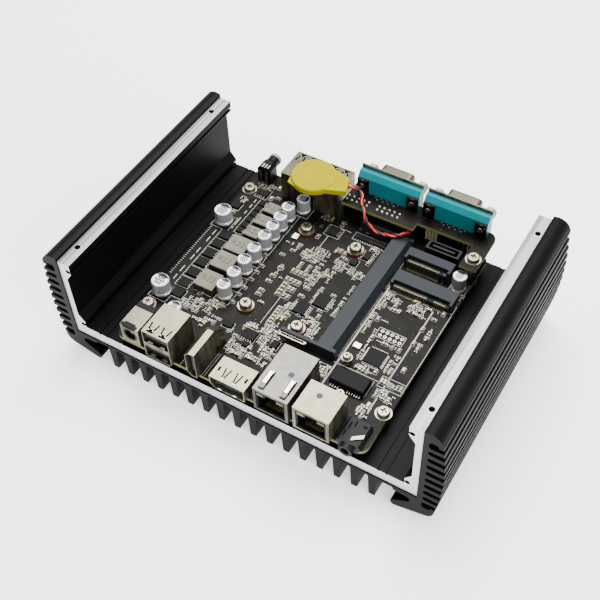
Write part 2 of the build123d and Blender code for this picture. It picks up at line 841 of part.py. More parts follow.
# Power button: a side-acting switch whose round cap slides in its body
button_front = board_rear - button_rear_gap - button_depth
button_rear = button_front + button_depth
with BuildPart() as power_button_body:
    with BuildSketch(upright(button_x, button_rear, board_top, 1)):
        Rectangle(button_width, button_height, align=(Align.CENTER, Align.MIN))
    extrude(amount=-button_depth)
    roof = power_button_body.faces().sort_by(Axis.Z)[-1].edges().filter_by(Axis.Y)
    chamfer(roof, 1.6)
    with BuildSketch(upright(button_x, button_rear, board_top + button_axis, 1)):
        Circle(button_stem_radius + gap)
    extrude(amount=-(button_depth - 1.4), mode=Mode.SUBTRACT)
power_button_body.part.label = "power_button_body"
export_step(power_button_body.part, "parts/power_button_body.step")

cap_rear = button_rear + button_travel + 0.3
with BuildPart() as power_button_cap:
    with BuildSketch(upright(button_x, cap_rear, board_top + button_axis, 1)):
        Circle(button_cap_radius)
    extrude(amount=button_cap_length)
    fillet(power_button_cap.faces().sort_by(Axis.Y)[-1].edges(), 0.9)
    with BuildSketch(upright(button_x, cap_rear, board_top + button_axis, 1)):
        Circle(button_stem_radius)
    extrude(amount=-(cap_rear - button_front - 1.4 - button_travel - 0.2))
power_button_cap.part.label = "power_button_cap"
export_step(power_button_cap.part, "parts/power_button_cap.step")

with BuildPart() as power_button_bracket:
    with BuildSketch(Plane.XY.offset(board_top)):
        for side in (-1, 1):
            with Locations((button_x + side * 1.6, button_front - 0.4)):
                Rectangle(0.8, 0.8)
    extrude(amount=button_height - 2.4)
power_button_bracket.part.label = "power_button_bracket"
export_step(power_button_bracket.part, "parts/power_button_bracket.step")

# Second board: a stepped outline with the screw tab at its right front
with BuildPart() as serial_board:
    with BuildSketch(Plane.XY.offset(serial_under)):
        step_y = serial_edge + serial_step
        with BuildLine():
            Polyline(
                (serial_left, serial_rear),
                (serial_left, serial_edge),
                (serial_step_x, serial_edge),
                (serial_step_x, step_y),
                (tab_left, step_y),
                (tab_left, tab_edge),
                (serial_right, tab_edge),
                (serial_right, serial_rear),
                close=True,
            )
        make_face()
        with Locations(shared_hole):
            Circle(screw_radius + screw_clearance, mode=Mode.SUBTRACT)
    extrude(amount=board_thickness)
    corners = serial_board.edges().filter_by(Axis.Z).sort_by(Axis.X)[-2:]
    fillet(corners.sort_by(Axis.Y)[-1], serial_corner)
serial_board.part.label = "serial_board"
export_step(serial_board.part, "parts/serial_board.step")

# Tall pillar that stands on the main board, screws into the low one and carries the tab
with BuildPart() as serial_standoff:
    with BuildSketch(Plane.XY.offset(board_top)):
        with Locations(shared_hole):
            RegularPolygon(standoff_radius, 6)
    extrude(amount=link_height)
    with BuildSketch(Plane.XY.offset(board_top)):
        with Locations(shared_hole):
            Circle(screw_radius)
    extrude(amount=-(board_thickness + 4.0))
    with BuildSketch(Plane.XY.offset(serial_under)):
        with Locations(shared_hole):
            Circle(screw_radius + 0.05)
    extrude(amount=-5.0, mode=Mode.SUBTRACT)
serial_standoff.part.label = "serial_standoff"
export_step(serial_standoff.part, "parts/serial_standoff.step")

serial_screw = pan_screws([shared_hole], serial_board_top, board_thickness + 4.0, head_radius, head_height)
serial_screw.part.label = "serial_screw"
export_step(serial_screw.part, "parts/serial_screw.step")

# Serial ports: moulded housings with a sloped ridge, stamped flanges with the shell, and pins
housing_front = serial_rear - serial_depth
port_axis = serial_board_top + serial_axis
with BuildPart() as serial_housings:
    for port_x in serial_ports_x:
        with BuildSketch(sideways(port_x, serial_rear, serial_board_top)):
            Polygon(
                (-serial_depth, 0),
                (-serial_depth, serial_face),
                (serial_slope - serial_depth, serial_top),
                (0, serial_top),
                (0, 0),
                align=None,
            )
        extrude(amount=serial_width / 2, both=True)
serial_housings.part.label = "serial_housings"
export_step(serial_housings.part, "parts/serial_housings.step")

flange_face = serial_rear + flange_thickness
dshell_outline = [
    (dshell_width / 2, dshell_height / 2),
    (-dshell_width / 2, dshell_height / 2),
    (dshell_slant - dshell_width / 2, -dshell_height / 2),
    (dshell_width / 2 - dshell_slant, -dshell_height / 2),
]
with BuildPart() as serial_shells:
    for port_x in serial_ports_x:
        with BuildSketch(upright(port_x, serial_rear, serial_board_top, 1)):
            Rectangle(serial_width, flange_height, align=(Align.CENTER, Align.MIN))
        extrude(amount=flange_thickness)
        with BuildSketch(upright(port_x, flange_face, port_axis, 1)) as outline:
            Polygon(*dshell_outline, align=None)
            fillet(outline.vertices(), 2.2)
        extrude(amount=dshell_length)
        with BuildSketch(upright(port_x, flange_face + dshell_length, port_axis, 1)) as hollow:
            Polygon(*dshell_outline, align=None)
            fillet(hollow.vertices(), 2.2)
            offset(amount=-dshell_wall, mode=Mode.REPLACE)
        extrude(amount=-dshell_length, mode=Mode.SUBTRACT)
serial_shells.part.label = "serial_shells"
export_step(serial_shells.part, "parts/serial_shells.step")

with BuildPart() as serial_pins:
    for port_x in serial_ports_x:
        with BuildSketch(upright(port_x, flange_face, port_axis, 1)):
            with Locations((0, pin_row / 2)):
                with GridLocations(pin_pitch, 1, 5, 1):
                    Circle(serial_pin)
            with Locations((0, -pin_row / 2)):
                with GridLocations(pin_pitch, 1, 4, 1):
                    Circle(serial_pin)
        extrude(amount=dshell_length - 0.6)
serial_pins.part.label = "serial_pins"
export_step(serial_pins.part, "parts/serial_pins.step")

post_places = [x + side * post_spacing / 2 for x in serial_ports_x for side in (-1, 1)]
with BuildPart() as jack_posts:
    for post_x in post_places:
        with BuildSketch(upright(post_x, flange_face, port_axis, 1)):
            RegularPolygon(post_radius, 6)
        extrude(amount=post_length)
        with BuildSketch(upright(post_x, flange_face + post_length, port_axis, 1)):
            Circle(post_bore)
        extrude(amount=-(post_length - 0.8), mode=Mode.SUBTRACT)
jack_posts.part.label = "jack_posts"
export_step(jack_posts.part, "parts/jack_posts.step")

with BuildPart() as serial_brackets:
    for post_x in post_places:
        with BuildSketch(upright(post_x, housing_front, serial_board_top, -1)):
            Rectangle(bracket_width, bracket_height, align=(Align.CENTER, Align.MIN))
        extrude(amount=bracket_sheet)
        with BuildSketch(upright(post_x, housing_front - bracket_sheet, port_axis, -1)):
            Circle(rivet_radius)
        extrude(amount=rivet_height)
serial_brackets.part.label = "serial_brackets"
export_step(serial_brackets.part, "parts/serial_brackets.step")

# Sockets that join the two boards, and the open pin strip beside them
link_row_y = serial_edge + 4.9
link_x = (-3.0, 12.5)
link_width = 12.8
link_depth = 4.4
strip_x = serial_step_x + 19.0
strip_width = 12.6
strip_depth = 2.5
strip_base = 2.5
strip_pin = 0.64
strip_y = serial_edge + serial_step + 1.6
with BuildPart() as link_sockets:
    with BuildSketch(Plane.XY.offset(board_top)):
        with Locations(*[(x, link_row_y) for x in link_x]):
            Rectangle(link_width, link_depth)
    extrude(amount=link_height)
    with BuildSketch(Plane.XY.offset(board_top)):
        with Locations((strip_x, strip_y)):
            Rectangle(strip_width, strip_depth)
    extrude(amount=strip_base)
link_sockets.part.label = "link_sockets"
export_step(link_sockets.part, "parts/link_sockets.step")

with BuildPart() as pin_strip_pins:
    with BuildSketch(Plane.XY.offset(board_top + strip_base)):
        with Locations((strip_x, strip_y)):
            with GridLocations(2.0, 1, 6, 1):
                Rectangle(strip_pin, strip_pin)
    extrude(amount=link_height - strip_base)
pin_strip_pins.part.label = "pin_strip_pins"
export_step(pin_strip_pins.part, "parts/pin_strip_pins.step")

# Memory socket: a long bar with the card slot, and an arm at each end
memory_y = board_front + memory_front
slot_floor = board_top + memory_slot_z
with BuildPart() as memory_socket:
    with BuildSketch(Plane(origin=(memory_left, memory_y, board_top), x_dir=(1, 0, 0), z_dir=(0, -1, 0))):
        Polygon(
            (0, 0),
            (memory_width, 0),
            (memory_width, memory_low),
            (memory_bar + 0.8, memory_height),
            (0, memory_height),
            align=None,
        )
    extrude(amount=-memory_length)
    arm_reach = memory_arm + memory_width
    with BuildSketch(Plane.XY.offset(board_top)):
        for arm_y in (memory_y, memory_y + memory_length):
            with Locations((memory_left - memory_arm, arm_y)):
                Rectangle(arm_reach, memory_arm_width, align=(Align.MIN, Align.CENTER))
    extrude(amount=memory_height)
    with BuildSketch(Plane.XY.offset(slot_floor)):
        with Locations((memory_left, memory_y + memory_length / 2)):
            Rectangle(2 * 4.2, memory_length - 2 * memory_arm_width)
        with Locations((memory_left, memory_y + memory_key)):
            Rectangle(2 * 4.4, 1.2, mode=Mode.SUBTRACT)
    extrude(amount=memory_slot, mode=Mode.SUBTRACT)
memory_socket.part.label = "memory_socket"
export_step(memory_socket.part, "parts/memory_socket.step")


def memory_latch(arm_y, side):
    """A hairpin strip beside the arm, riveted by a pin at its open end to the socket."""
    near = arm_y + side * (memory_arm_width / 2 + gap + latch_width / 2)
    left = memory_left - latch_reach - latch_length
    with BuildPart() as latch:
        with BuildSketch(Plane.XY.offset(board_top + latch_lift)):
            with Locations((left + latch_length / 2 + 1.0, near)):
                SlotOverall(latch_length + 2.0, latch_width)
                SlotOverall(latch_length + 2.0 - 2 * latch_sheet, latch_width - 2 * latch_sheet,
                            mode=Mode.SUBTRACT)
            with Locations((left + latch_length, near)):
                Rectangle(4.0, 2 * latch_width, align=(Align.MIN, Align.CENTER), mode=Mode.SUBTRACT)
        extrude(amount=latch_height)
        with BuildSketch(Plane.XY.offset(board_top + gap)):
            with Locations((left + latch_length, near)):
                Circle(latch_pin)
        extrude(amount=latch_lift + latch_height)
    return latch


memory_latch_front = memory_latch(memory_y, -1)
memory_latch_front.part.label = "memory_latch_front"
export_step(memory_latch_front.part, "parts/memory_latch_front.step")
memory_latch_rear = memory_latch(memory_y + memory_length, 1)
memory_latch_rear.part.label = "memory_latch_rear"
export_step(memory_latch_rear.part, "parts/memory_latch_rear.step")


def card_socket(x, width, front, depth, height):
    """An edge socket for a flat card that slides in from the front, between two jaws."""
    slot_z = height - jaw_thickness - card_slot
    with BuildPart() as socket:
        with BuildSketch(sideways(x, front, board_top)):
            Polygon(
                (0, 0),
                (depth, 0),
                (depth, height),
                (jaw_setback, height),
                (jaw_setback, slot_z),
                (0.4, slot_z),
                (0, slot_z - 0.4),
                align=None,
            )
        extrude(amount=width / 2, both=True)
        with BuildSketch(sideways(x, front, board_top + slot_z)):
            Rectangle(2 * (depth - 1.8), card_slot, align=(Align.CENTER, Align.MIN))
        extrude(amount=width / 2 - 1.2, both=True, mode=Mode.SUBTRACT)
        for side in (-1, 1):
            with BuildSketch(Plane.XY.offset(board_top)):
                with Locations((x + side * (width / 2 - 0.6), front)):
                    Rectangle(1.2, jaw_setback + 1.0, align=(Align.CENTER, Align.MIN))
            extrude(amount=height)
        with BuildSketch(Plane.XY.offset(board_top + slot_z)):
            with Locations((x + width * 0.3, front + jaw_setback)):
                Rectangle(card_key_width, depth - jaw_setback - 1.0, align=(Align.CENTER, Align.MIN))
        extrude(amount=card_slot)
    return socket


m2_socket = card_socket(m2_x, m2_width, board_rear - m2_to_rear, m2_depth, m2_height)
m2_socket.part.label = "m2_socket"
export_step(m2_socket.part, "parts/m2_socket.step")
mini_pcie_socket = card_socket(pcie_x, pcie_width, board_rear - pcie_to_rear, pcie_depth, pcie_height)
mini_pcie_socket.part.label = "mini_pcie_socket"
export_step(mini_pcie_socket.part, "parts/mini_pcie_socket.step")

with BuildPart() as card_spacer:
    with BuildSketch(Plane.XY.offset(board_top)):
        with Locations(at(spacer_x, spacer_y)):
            Circle(spacer_radius)
            Circle(screw_radius + 0.05, mode=Mode.SUBTRACT)
    extrude(amount=spacer_height)
card_spacer.part.label = "card_spacer"
export_step(card_spacer.part, "parts/card_spacer.step")

card_screw = pan_screws([at(spacer_x, spacer_y)], board_top + spacer_height, 2.4, 1.8, 1.5)

# Disk socket: an upright shroud around a flat tongue
with BuildPart() as disk_socket:
    with BuildSketch(Plane.XY.offset(board_top)):
        with Locations(from_rear(sata_x, sata_to_rear)):
            Rectangle(sata_width, sata_depth)
    extrude(amount=sata_height)
    with BuildSketch(Plane.XY.offset(board_top + sata_height)):
        with Locations(from_rear(sata_x, sata_to_rear)):
            Rectangle(sata_width - 2.2, sata_depth - 1.8)
            Rectangle(sata_width - 5.0, 1.1, mode=Mode.SUBTRACT)
    extrude(amount=-5.6, mode=Mode.SUBTRACT)
disk_socket.part.label = "disk_socket"
export_step(disk_socket.part, "parts/disk_socket.step")

# Capacitors: aluminium cans with a rolled neck on moulded bases
big_can_places = [at(-56.2, 29.2), at(-56.2, 78.4)]
row_x = -30.6
row_y = (40.4, 48.5, 56.9, 64.9, 73.6, 80.4, 87.2, 94.2)
small_can_places = [at(row_x, y) for y in row_y]
small_can_places += [at(-41.9, 19.4), from_rear(-27.1, 15.2), from_rear(55.7, 23.3)]


def can_bases(places, radius):
    """The square bases with two cut corners."""
    with BuildPart() as bases:
        with BuildSketch(Plane.XY.offset(board_top)):
            with Locations(*places):
                Rectangle(2 * radius + 0.3, 2 * radius + 0.3)
        extrude(amount=can_base)
        uprights = bases.edges().filter_by(Axis.Z)
        chamfer([e for e in uprights if is_near_side(e, places)], radius * 0.4)
    return bases


def is_near_side(edge, places):
    """True for an upright edge on the front side of the base that it belongs to."""
    centre = edge.center()
    nearest = min(places, key=lambda p: (p[0] - centre.X) ** 2 + (p[1] - centre.Y) ** 2)
    return centre.Y < nearest[1]


def cans(places, radius, height):
    """The aluminium cans with a rolled groove above the base and a rounded top edge."""
    body = height - can_base
    with BuildPart() as group:
        with BuildSketch(Plane.XZ):
            with BuildLine():
                Polyline(
                    (0, 0),
                    (radius, 0),
                    (radius, 0.9),
                    (radius - 0.3, 1.3),
                    (radius, 1.7),
                    (radius, body - 0.4),
                    (radius - 0.4, body),
                    (0, body),
                    close=True,
                )
            make_face()
        revolve(axis=Axis.Z)
    with BuildPart() as placed:
        with Locations(*[(x, y, board_top + can_base) for x, y in places]):
            add(group.part)
    return placed


big_cans = cans(big_can_places, big_can_radius, big_can_height)
small_cans = cans(small_can_places, small_can_radius, small_can_height)
big_bases = can_bases(big_can_places, big_can_radius)
small_bases = can_bases(small_can_places, small_can_radius)
with BuildPart() as capacitor_cans:
    add([big_cans.part, small_cans.part])
capacitor_cans.part.label = "capacitor_cans"
export_step(capacitor_cans.part, "parts/capacitor_cans.step")
with BuildPart() as capacitor_bases:
    add([big_bases.part, small_bases.part])
capacitor_bases.part.label = "capacitor_bases"
export_step(capacitor_bases.part, "parts/capacitor_bases.step")

# Power inductors: pressed blocks with a softened top edge
big_coil_places = [at(-40.3, y) for y in (42.3, 55.0, 66.3)]
small_coil_places = [at(-39.2, y) for y in (77.1, 85.6, 94.1)]
big_coils = blocks(big_coil_places, big_coil, big_coil, big_coil_height)
small_coils = blocks(small_coil_places, small_coil_x, small_coil_y, small_coil_height)
with BuildPart() as inductors:
    add([big_coils.part, small_coils.part])
    tops = inductors.faces().filter_by(Axis.Z).filter_by(lambda f: f.center().Z > board_top + 1)
    chamfer(tops.edges(), 0.35)
inductors.part.label = "inductors"
export_step(inductors.part, "parts/inductors.step")

# Power transistors and the other flat packages
mosfet_places = [at(-50.6, y) for y in (38.2, 45.0, 51.9, 58.2, 64.8, 71.0)]
driver_places = [at(-46.6, 77.0 + i * 3.9) for i in range(6)]
big_mosfets = blocks(mosfet_places, mosfet_x, mosfet_y, mosfet_height)
small_mosfets = blocks(driver_places, driver_size, driver_size, mosfet_height)
with BuildPart() as mosfets:
    add([big_mosfets.part, small_mosfets.part])
mosfets.part.label = "mosfets"
export_step(mosfets.part, "parts/mosfets.step")

chip_sizes = [
    (41.9, 42.6, 8.0, 8.0),
    (1.9, 50.6, 5.4, 6.8),
    (7.8, 58.2, 6.0, 7.0),
    (-8.3, 97.0, 4.6, 5.4),
    (-50.0, board_length - 14.3, 5.6, 3.6),
    (12.4, 91.2, 3.2, 5.0),
    (8.8, 84.7, 3.4, 3.6),
    (-56.7, 89.8, 4.0, 4.2),
    (-49.3, 31.8, 5.0, 4.6),
    (-9.6, 27.4, 6.0, 5.0),
    (-8.3, 22.2, 2.8, 2.4),
    (2.4, 28.0, 3.0, 4.0),
    (-20.6, 27.6, 4.4, 2.8),
]
with BuildPart() as chips:
    with BuildSketch(Plane.XY.offset(board_top)):
        for chip_x, chip_y, chip_w, chip_l in chip_sizes:
            with Locations(at(chip_x, chip_y)):
                Rectangle(chip_w, chip_l)
    extrude(amount=chip_height)
chips.part.label = "chips"
export_step(chips.part, "parts/chips.step")

with BuildPart() as crystals:
    with BuildSketch(Plane.XY.offset(board_top)):
        with Locations(at(32.6, 44.6)):
            Rectangle(3.2, 2.5)
        with Locations(at(-22.0, 85.9)):
            Rectangle(2.5, 3.2)
    extrude(amount=0.8)
crystals.part.label = "crystals"
export_step(crystals.part, "parts/crystals.step")

# Network transformer with its two rows of legs, gapped in front where a case screw passes
with BuildPart() as lan_transformer:
    with BuildSketch(Plane.XY.offset(board_top + 0.4)):
        with Locations(at(magnetics_x, magnetics_y)):
            Rectangle(magnetics_width, magnetics_length)
    extrude(amount=magnetics_height - 0.4)
    chamfer(lan_transformer.faces().sort_by(Axis.Z)[-1].edges(), 0.4)
lan_transformer.part.label = "lan_transformer"
export_step(lan_transformer.part, "parts/lan_transformer.step")

front_legs = [i for i in range(-6, 7) if i not in (-2, -1, 0)]
leg_edge = magnetics_length / 2
with BuildPart() as transformer_legs:
    with BuildSketch(Plane.XY.offset(board_top)):
        front_row = [at(magnetics_x + i * 1.1, magnetics_y - leg_edge - 0.7) for i in front_legs]
        rear_row = [at(magnetics_x + i * 1.1, magnetics_y + leg_edge + 0.7) for i in range(-6, 7)]
        with Locations(*front_row, *rear_row):
            Rectangle(lead_width, 1.4)
    extrude(amount=0.9)
transformer_legs.part.label = "transformer_legs"
export_step(transformer_legs.part, "parts/transformer_legs.step")

# Small screw between the network ports and the transformer, into a pillar of its own
port_screw = pan_screws([at(*port_hole)], board_top, board_thickness + 4.0, 2.2, 1.6)
with BuildPart() as small_screws:
    add([card_screw.part, port_screw.part])
small_screws.part.label = "small_screws"
export_step(small_screws.part, "parts/small_screws.step")

# Coin cell in its shrunk sleeve, lying on the rear USB ports: one sealed piece
cell_base = board_top + usb_height
cell_centre = from_rear(cell_x, cell_to_rear)
with BuildPart() as coin_cell:
    with BuildSketch(Plane.XY.offset(cell_base)):
        with Locations(cell_centre):
            Circle(cell_radius)
    extrude(amount=cell_thickness)
    rims = coin_cell.edges().filter_by(GeomType.CIRCLE)
    fillet(rims, 1.0)
    with BuildSketch(Plane.XY.offset(cell_base + 0.5)):
        with BuildLine():
            Polyline(
                from_rear(cell_x + 4.0, cell_to_rear - 8.8),
                from_rear(*sleeve_rear_corner),
                from_rear(*sleeve_front_corner),
                from_rear(cell_x + 6.0, cell_to_rear + 7.0),
                close=True,
            )
        make_face()
    extrude(amount=2.6)
coin_cell.part.label = "coin_cell"
export_step(coin_cell.part, "parts/coin_cell.step")

# Twisted lead from the cell over the second board's edge to its header on the main board.
# Each point is across, forward from the board's rear edge and up from the board's top face.
lead_stations = [
    (-8.44, 6.7, 17.5),
    (-6.72, 6.17, 17.5),
    (-4.9, 4.2, 16.9),
    (-2.3, 4.7, 14.6),
    (-0.5, 7.4, 12.95),
    (2.4, 12.2, 13.4),
    (4.4, 13.8, 9.0),
    (6.8, 13.9, 5.8),
    (10.6, 14.1, 4.4),
    (15.0, 14.4, 4.8),
    (18.6, 14.5, 6.4),
    (22.2, 12.8, 7.0),
    (23.6, 9.1, 5.9),
    (plug_x, plug_to_rear + 2.8, plug_entry),
    (plug_x, plug_to_rear, plug_entry),
]
lead_route = [(*from_rear(x, y), board_top + z) for x, y, z in lead_stations]


def corner_radii(points):
    """The bend radius at each inner corner: 0.45 of the shorter run over the half turn's tangent."""
    from math import radians, tan

    radii = []
    for before, here, after in zip(points, points[1:], points[2:]):
        run_in = Vector(*here) - Vector(*before)
        run_out = Vector(*after) - Vector(*here)
        half_turn = radians(run_in.get_angle(run_out)) / 2
        radii.append(0.45 * min(run_in.length, run_out.length) / tan(half_turn))
    return radii


lead_radii = corner_radii(lead_route)
print("lead radii", [round(r, 1) for r in lead_radii])
with BuildPart() as battery_lead:
    with BuildLine() as lead_line:
        FilletPolyline(*lead_route, radius=lead_radii)
    lead_path = lead_line.wires()[0]
    with BuildSketch(Plane(origin=lead_path @ 0, z_dir=lead_path % 0)):
        Circle(lead_radius)
    sweep(path=lead_path)
battery_lead.part.label = "battery_lead"
export_step(battery_lead.part, "parts/battery_lead.step")
lead_ideal = 3.14159 * lead_radius**2 * lead_path.length
print("lead length", round(lead_path.length, 1))
print("lead volume", round(battery_lead.part.volume, 1), "expected", round(lead_ideal, 1))

with BuildPart() as battery_header:
    with BuildSketch(Plane.XY.offset(board_top)):
        with Locations(from_rear(plug_x, plug_to_rear)):
            Rectangle(plug_width, plug_depth, align=(Align.CENTER, Align.MIN))
    extrude(amount=plug_height)
    with BuildSketch(Plane.XY.offset(board_top)):
        with Locations(from_rear(plug_x, plug_to_rear - 0.4)):
            Rectangle(plug_width + 1.6, plug_depth - 0.4, align=(Align.CENTER, Align.MIN))
    extrude(amount=2.4)
battery_header.part.label = "battery_header"
export_step(battery_header.part, "parts/battery_header.step")
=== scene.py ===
import math
import random

import bmesh
import bpy
from mathutils import Matrix, Vector


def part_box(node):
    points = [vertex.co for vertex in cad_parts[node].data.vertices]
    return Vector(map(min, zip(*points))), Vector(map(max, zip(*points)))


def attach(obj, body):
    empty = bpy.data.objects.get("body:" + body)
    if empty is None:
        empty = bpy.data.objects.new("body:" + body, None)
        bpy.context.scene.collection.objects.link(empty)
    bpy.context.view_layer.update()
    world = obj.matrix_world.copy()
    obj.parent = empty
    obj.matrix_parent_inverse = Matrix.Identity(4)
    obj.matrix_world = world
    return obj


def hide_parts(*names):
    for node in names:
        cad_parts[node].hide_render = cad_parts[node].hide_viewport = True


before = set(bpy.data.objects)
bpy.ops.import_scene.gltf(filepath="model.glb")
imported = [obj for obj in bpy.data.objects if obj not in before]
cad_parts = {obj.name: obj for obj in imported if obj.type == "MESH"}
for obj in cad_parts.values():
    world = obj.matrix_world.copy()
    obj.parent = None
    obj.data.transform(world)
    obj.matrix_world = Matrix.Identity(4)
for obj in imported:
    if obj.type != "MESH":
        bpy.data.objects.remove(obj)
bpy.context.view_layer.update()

# Camera: the computer was photographed from above its front right corner with a long lens,
# and the camera was tipped a little to its left.
mm = 0.001
azimuth, elevation, tip = (math.radians(angle) for angle in (32.603, 49.912, -2.474))
look_at = Vector((-6.48, 2.8, 14.3)) * mm
camera_distance = 449.7 * mm
level = Vector((math.cos(azimuth), math.sin(azimuth), 0))
forward = Vector((math.sin(azimuth), -math.cos(azimuth), 0))
backward = forward * math.cos(elevation) + Vector((0, 0, math.sin(elevation)))
steep = backward.cross(level)
rightward = level * math.cos(tip) + steep * math.sin(tip)
upward = steep * math.cos(tip) - level * math.sin(tip)


def placed(name, data):
    """A new object of the scene."""
    made = bpy.data.objects.new(name, data)
    bpy.context.collection.objects.link(made)
    return made


camera = placed("camera", bpy.data.cameras.new("camera"))
camera.data.lens = 60.11
camera.data.sensor_width = 36
camera.matrix_world = Matrix.Translation(look_at + backward * camera_distance) @ Matrix(
    (rightward, upward, backward)
).transposed().to_4x4()
bpy.context.scene.camera = camera

# Lead of the clock's battery: a red and a black wire with thin plastic insulation, twisted
# together by hand. They leave the battery's sleeve, cross the edge of the second board, lie
# over the rear arm of the memory socket and go into a header under that board.
board_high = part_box("main_board")[1]
board_top, board_rear = board_high.z, board_high.y
# Millimetres across, ahead of the board's rear edge and above the board.
lead_stations = [
    (-8.44, 6.7, 17.5), (-6.72, 6.17, 17.5), (-4.9, 4.2, 16.9), (-2.3, 4.7, 14.6), (-0.5, 7.4, 12.95),
    (2.4, 12.2, 13.4), (4.4, 13.8, 9.0), (6.8, 13.9, 5.8), (10.6, 14.1, 4.4), (15.0, 14.4, 4.8),
    (18.6, 14.5, 6.4), (22.2, 12.8, 7.0), (23.6, 9.1, 5.9), (23.6, 6.6, 4.6), (23.6, 3.8, 4.6),
]
wire_radius = 0.5 * mm
wire_spread = 0.45 * mm
twist_pitch = 8.5 * mm
twist_start = 1.2


class Wire:
    """One socket of a material's node tree. Sums, products and comparisons of wires add nodes."""

    def __init__(self, socket):
        self.socket = socket

    def node(self, kind, settings=None, inputs=None, out=0):
        """A new node of the same tree, as a wire that comes from one of its outputs."""
        tree = self.socket.id_data
        made = tree.nodes.new("ShaderNode" + kind)
        for setting, value in (settings or {}).items():
            setattr(made, setting, value)
        for socket, value in (inputs or {}).items():
            if isinstance(value, Wire):
                tree.links.new(value.socket, made.inputs[socket])
            else:
                made.inputs[socket].default_value = value
        return Wire(made.outputs[out])

    def __add__(self, other):
        return self.node("Math", {"operation": "ADD"}, {0: self, 1: other})

    def __sub__(self, other):
        return self.node("Math", {"operation": "SUBTRACT"}, {0: self, 1: other})

    def __rsub__(self, other):
        return self.node("Math", {"operation": "SUBTRACT"}, {0: other, 1: self})

    def __mul__(self, other):
        return self.node("Math", {"operation": "MULTIPLY"}, {0: self, 1: other})

    def __gt__(self, other):
        return self.node("Math", {"operation": "GREATER_THAN"}, {0: self, 1: other})

    def __lt__(self, other):
        return self.node("Math", {"operation": "LESS_THAN"}, {0: self, 1: other})

    def __abs__(self):
        return self.node("Math", {"operation": "ABSOLUTE"}, {0: self})

    __radd__ = __add__
    __rmul__ = __mul__


def paint(red, green, blue):
    """A colour as it looks on a screen, 0 to 255 a channel, in the linear values of a shader."""
    channels = [channel / 255 for channel in (red, green, blue)]
    return (*[c / 12.92 if c <= 0.04045 else ((c + 0.055) / 1.055) ** 2.4 for c in channels], 1.0)


def shade(colour, factor):
    """A shader's colour made darker or lighter."""
    return (*[min(1.0, factor * channel) for channel in colour[:3]], 1.0)


def finish(name, **fixed):
    """A new material with its fixed values set on the shader, and the place on the part."""
    material = bpy.data.materials.new(name)
    material.use_nodes = True
    tree = material.node_tree
    for socket, value in fixed.items():
        tree.nodes["Principled BSDF"].inputs[socket.replace("_", " ")].default_value = value
    return material, Wire(tree.nodes.new("ShaderNodeTexCoord").outputs["Object"])


def feed(material, **wires):
    """Leads wires to the shader of a material and returns the material."""
    shader = material.node_tree.nodes["Principled BSDF"]
    for socket, wire in wires.items():
        material.node_tree.links.new(wire.socket, shader.inputs[socket.replace("_", " ")])
    return material


def mottle(place, size, stretch=(1, 1, 1), detail=2.0):
    """Noise from 0 to 1 in patches of about size millimetres, drawn out by stretch."""
    drawn = place.node("VectorMath", {"operation": "DIVIDE"}, {0: place, 1: stretch})
    scale = 1 / (size * mm)
    return place.node("TexNoise", None, {"Vector": drawn, "Scale": scale, "Detail": detail})


def ease(wire, low, high):
    """0 where the wire is at low or less, 1 where it is at high or more, and even between."""
    limits = {"Value": wire, "From Min": low, "From Max": high}
    return wire.node("MapRange", {"clamp": True}, limits)


def tint(amount, under, over):
    """The colour under, covered by the colour over as far as amount says."""
    return amount.node("Mix", {"data_type": "RGBA"}, {0: amount, 6: under, 7: over}, out=2)


def relief(height, depth):
    """The normal of a surface whose height wire, from 0 to 1, stands for depth millimetres."""
    return height.node("Bump", None, {"Distance": depth * mm, "Height": height})


def insulation(name, colour):
    """Soft plastic over a thin wire: glossy in places, a little dull where it was handled."""
    material, place = finish(name, Roughness=0.4)
    wear = mottle(place, 2.5)
    colour = paint(*colour)
    return feed(material, Base_Color=tint(wear, colour, shade(colour, 0.72)), Roughness=0.3 + 0.22 * wear,
                Normal=relief(mottle(place, 0.8), 0.04))


def settle(name, shape, slot, *materials, soften=0.0, body="case"):
    """Makes the mesh an object with its materials, softens its edges and lets it ride on a body."""
    mesh = bpy.data.meshes.new(name)
    bmesh.ops.recalc_face_normals(shape, faces=shape.faces)
    shape.to_mesh(mesh)
    shape.free()
    piece = placed(name, mesh)
    for material in materials:
        mesh.materials.append(material)
    if soften:
        rounding = piece.modifiers.new("soft_edges", "BEVEL")
        rounding.width = soften * mm
        rounding.segments = 2
        rounding.limit_method = "ANGLE"
    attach(piece, body)
    return piece


def mesh_of(curve):
    """The mesh of a curve, which is used up."""
    carrier = bpy.data.objects.new("carrier", curve)
    mesh = bpy.data.meshes.new_from_object(carrier)
    bpy.data.objects.remove(carrier)
    bpy.data.curves.remove(curve)
    return mesh


def curve_points(stations):
    """Points along the smooth curve that has the stations as its control points."""
    line = bpy.data.curves.new("route", "CURVE")
    line.dimensions = "3D"
    line.resolution_u = 10
    spline = line.splines.new("NURBS")
    spline.points.add(len(stations) - 1)
    for point, station in zip(spline.points, stations):
        point.co = (*station, 1.0)
    spline.order_u = 3
    spline.use_endpoint_u = True
    return [vertex.co.copy() for vertex in mesh_of(line).vertices]


def moving_frames(points):
    """At each point two directions across the line that turn as little as possible along it."""
    frames = []
    across = Vector((0, 0, 1)).cross(points[1] - points[0]).normalized()
    for before, after in zip([points[0]] + points, points[1:] + [points[-1]]):
        along = (after - before).normalized()
        across = (across - along * across.dot(along)).normalized()
        frames.append((across, along.cross(across)))
    return frames


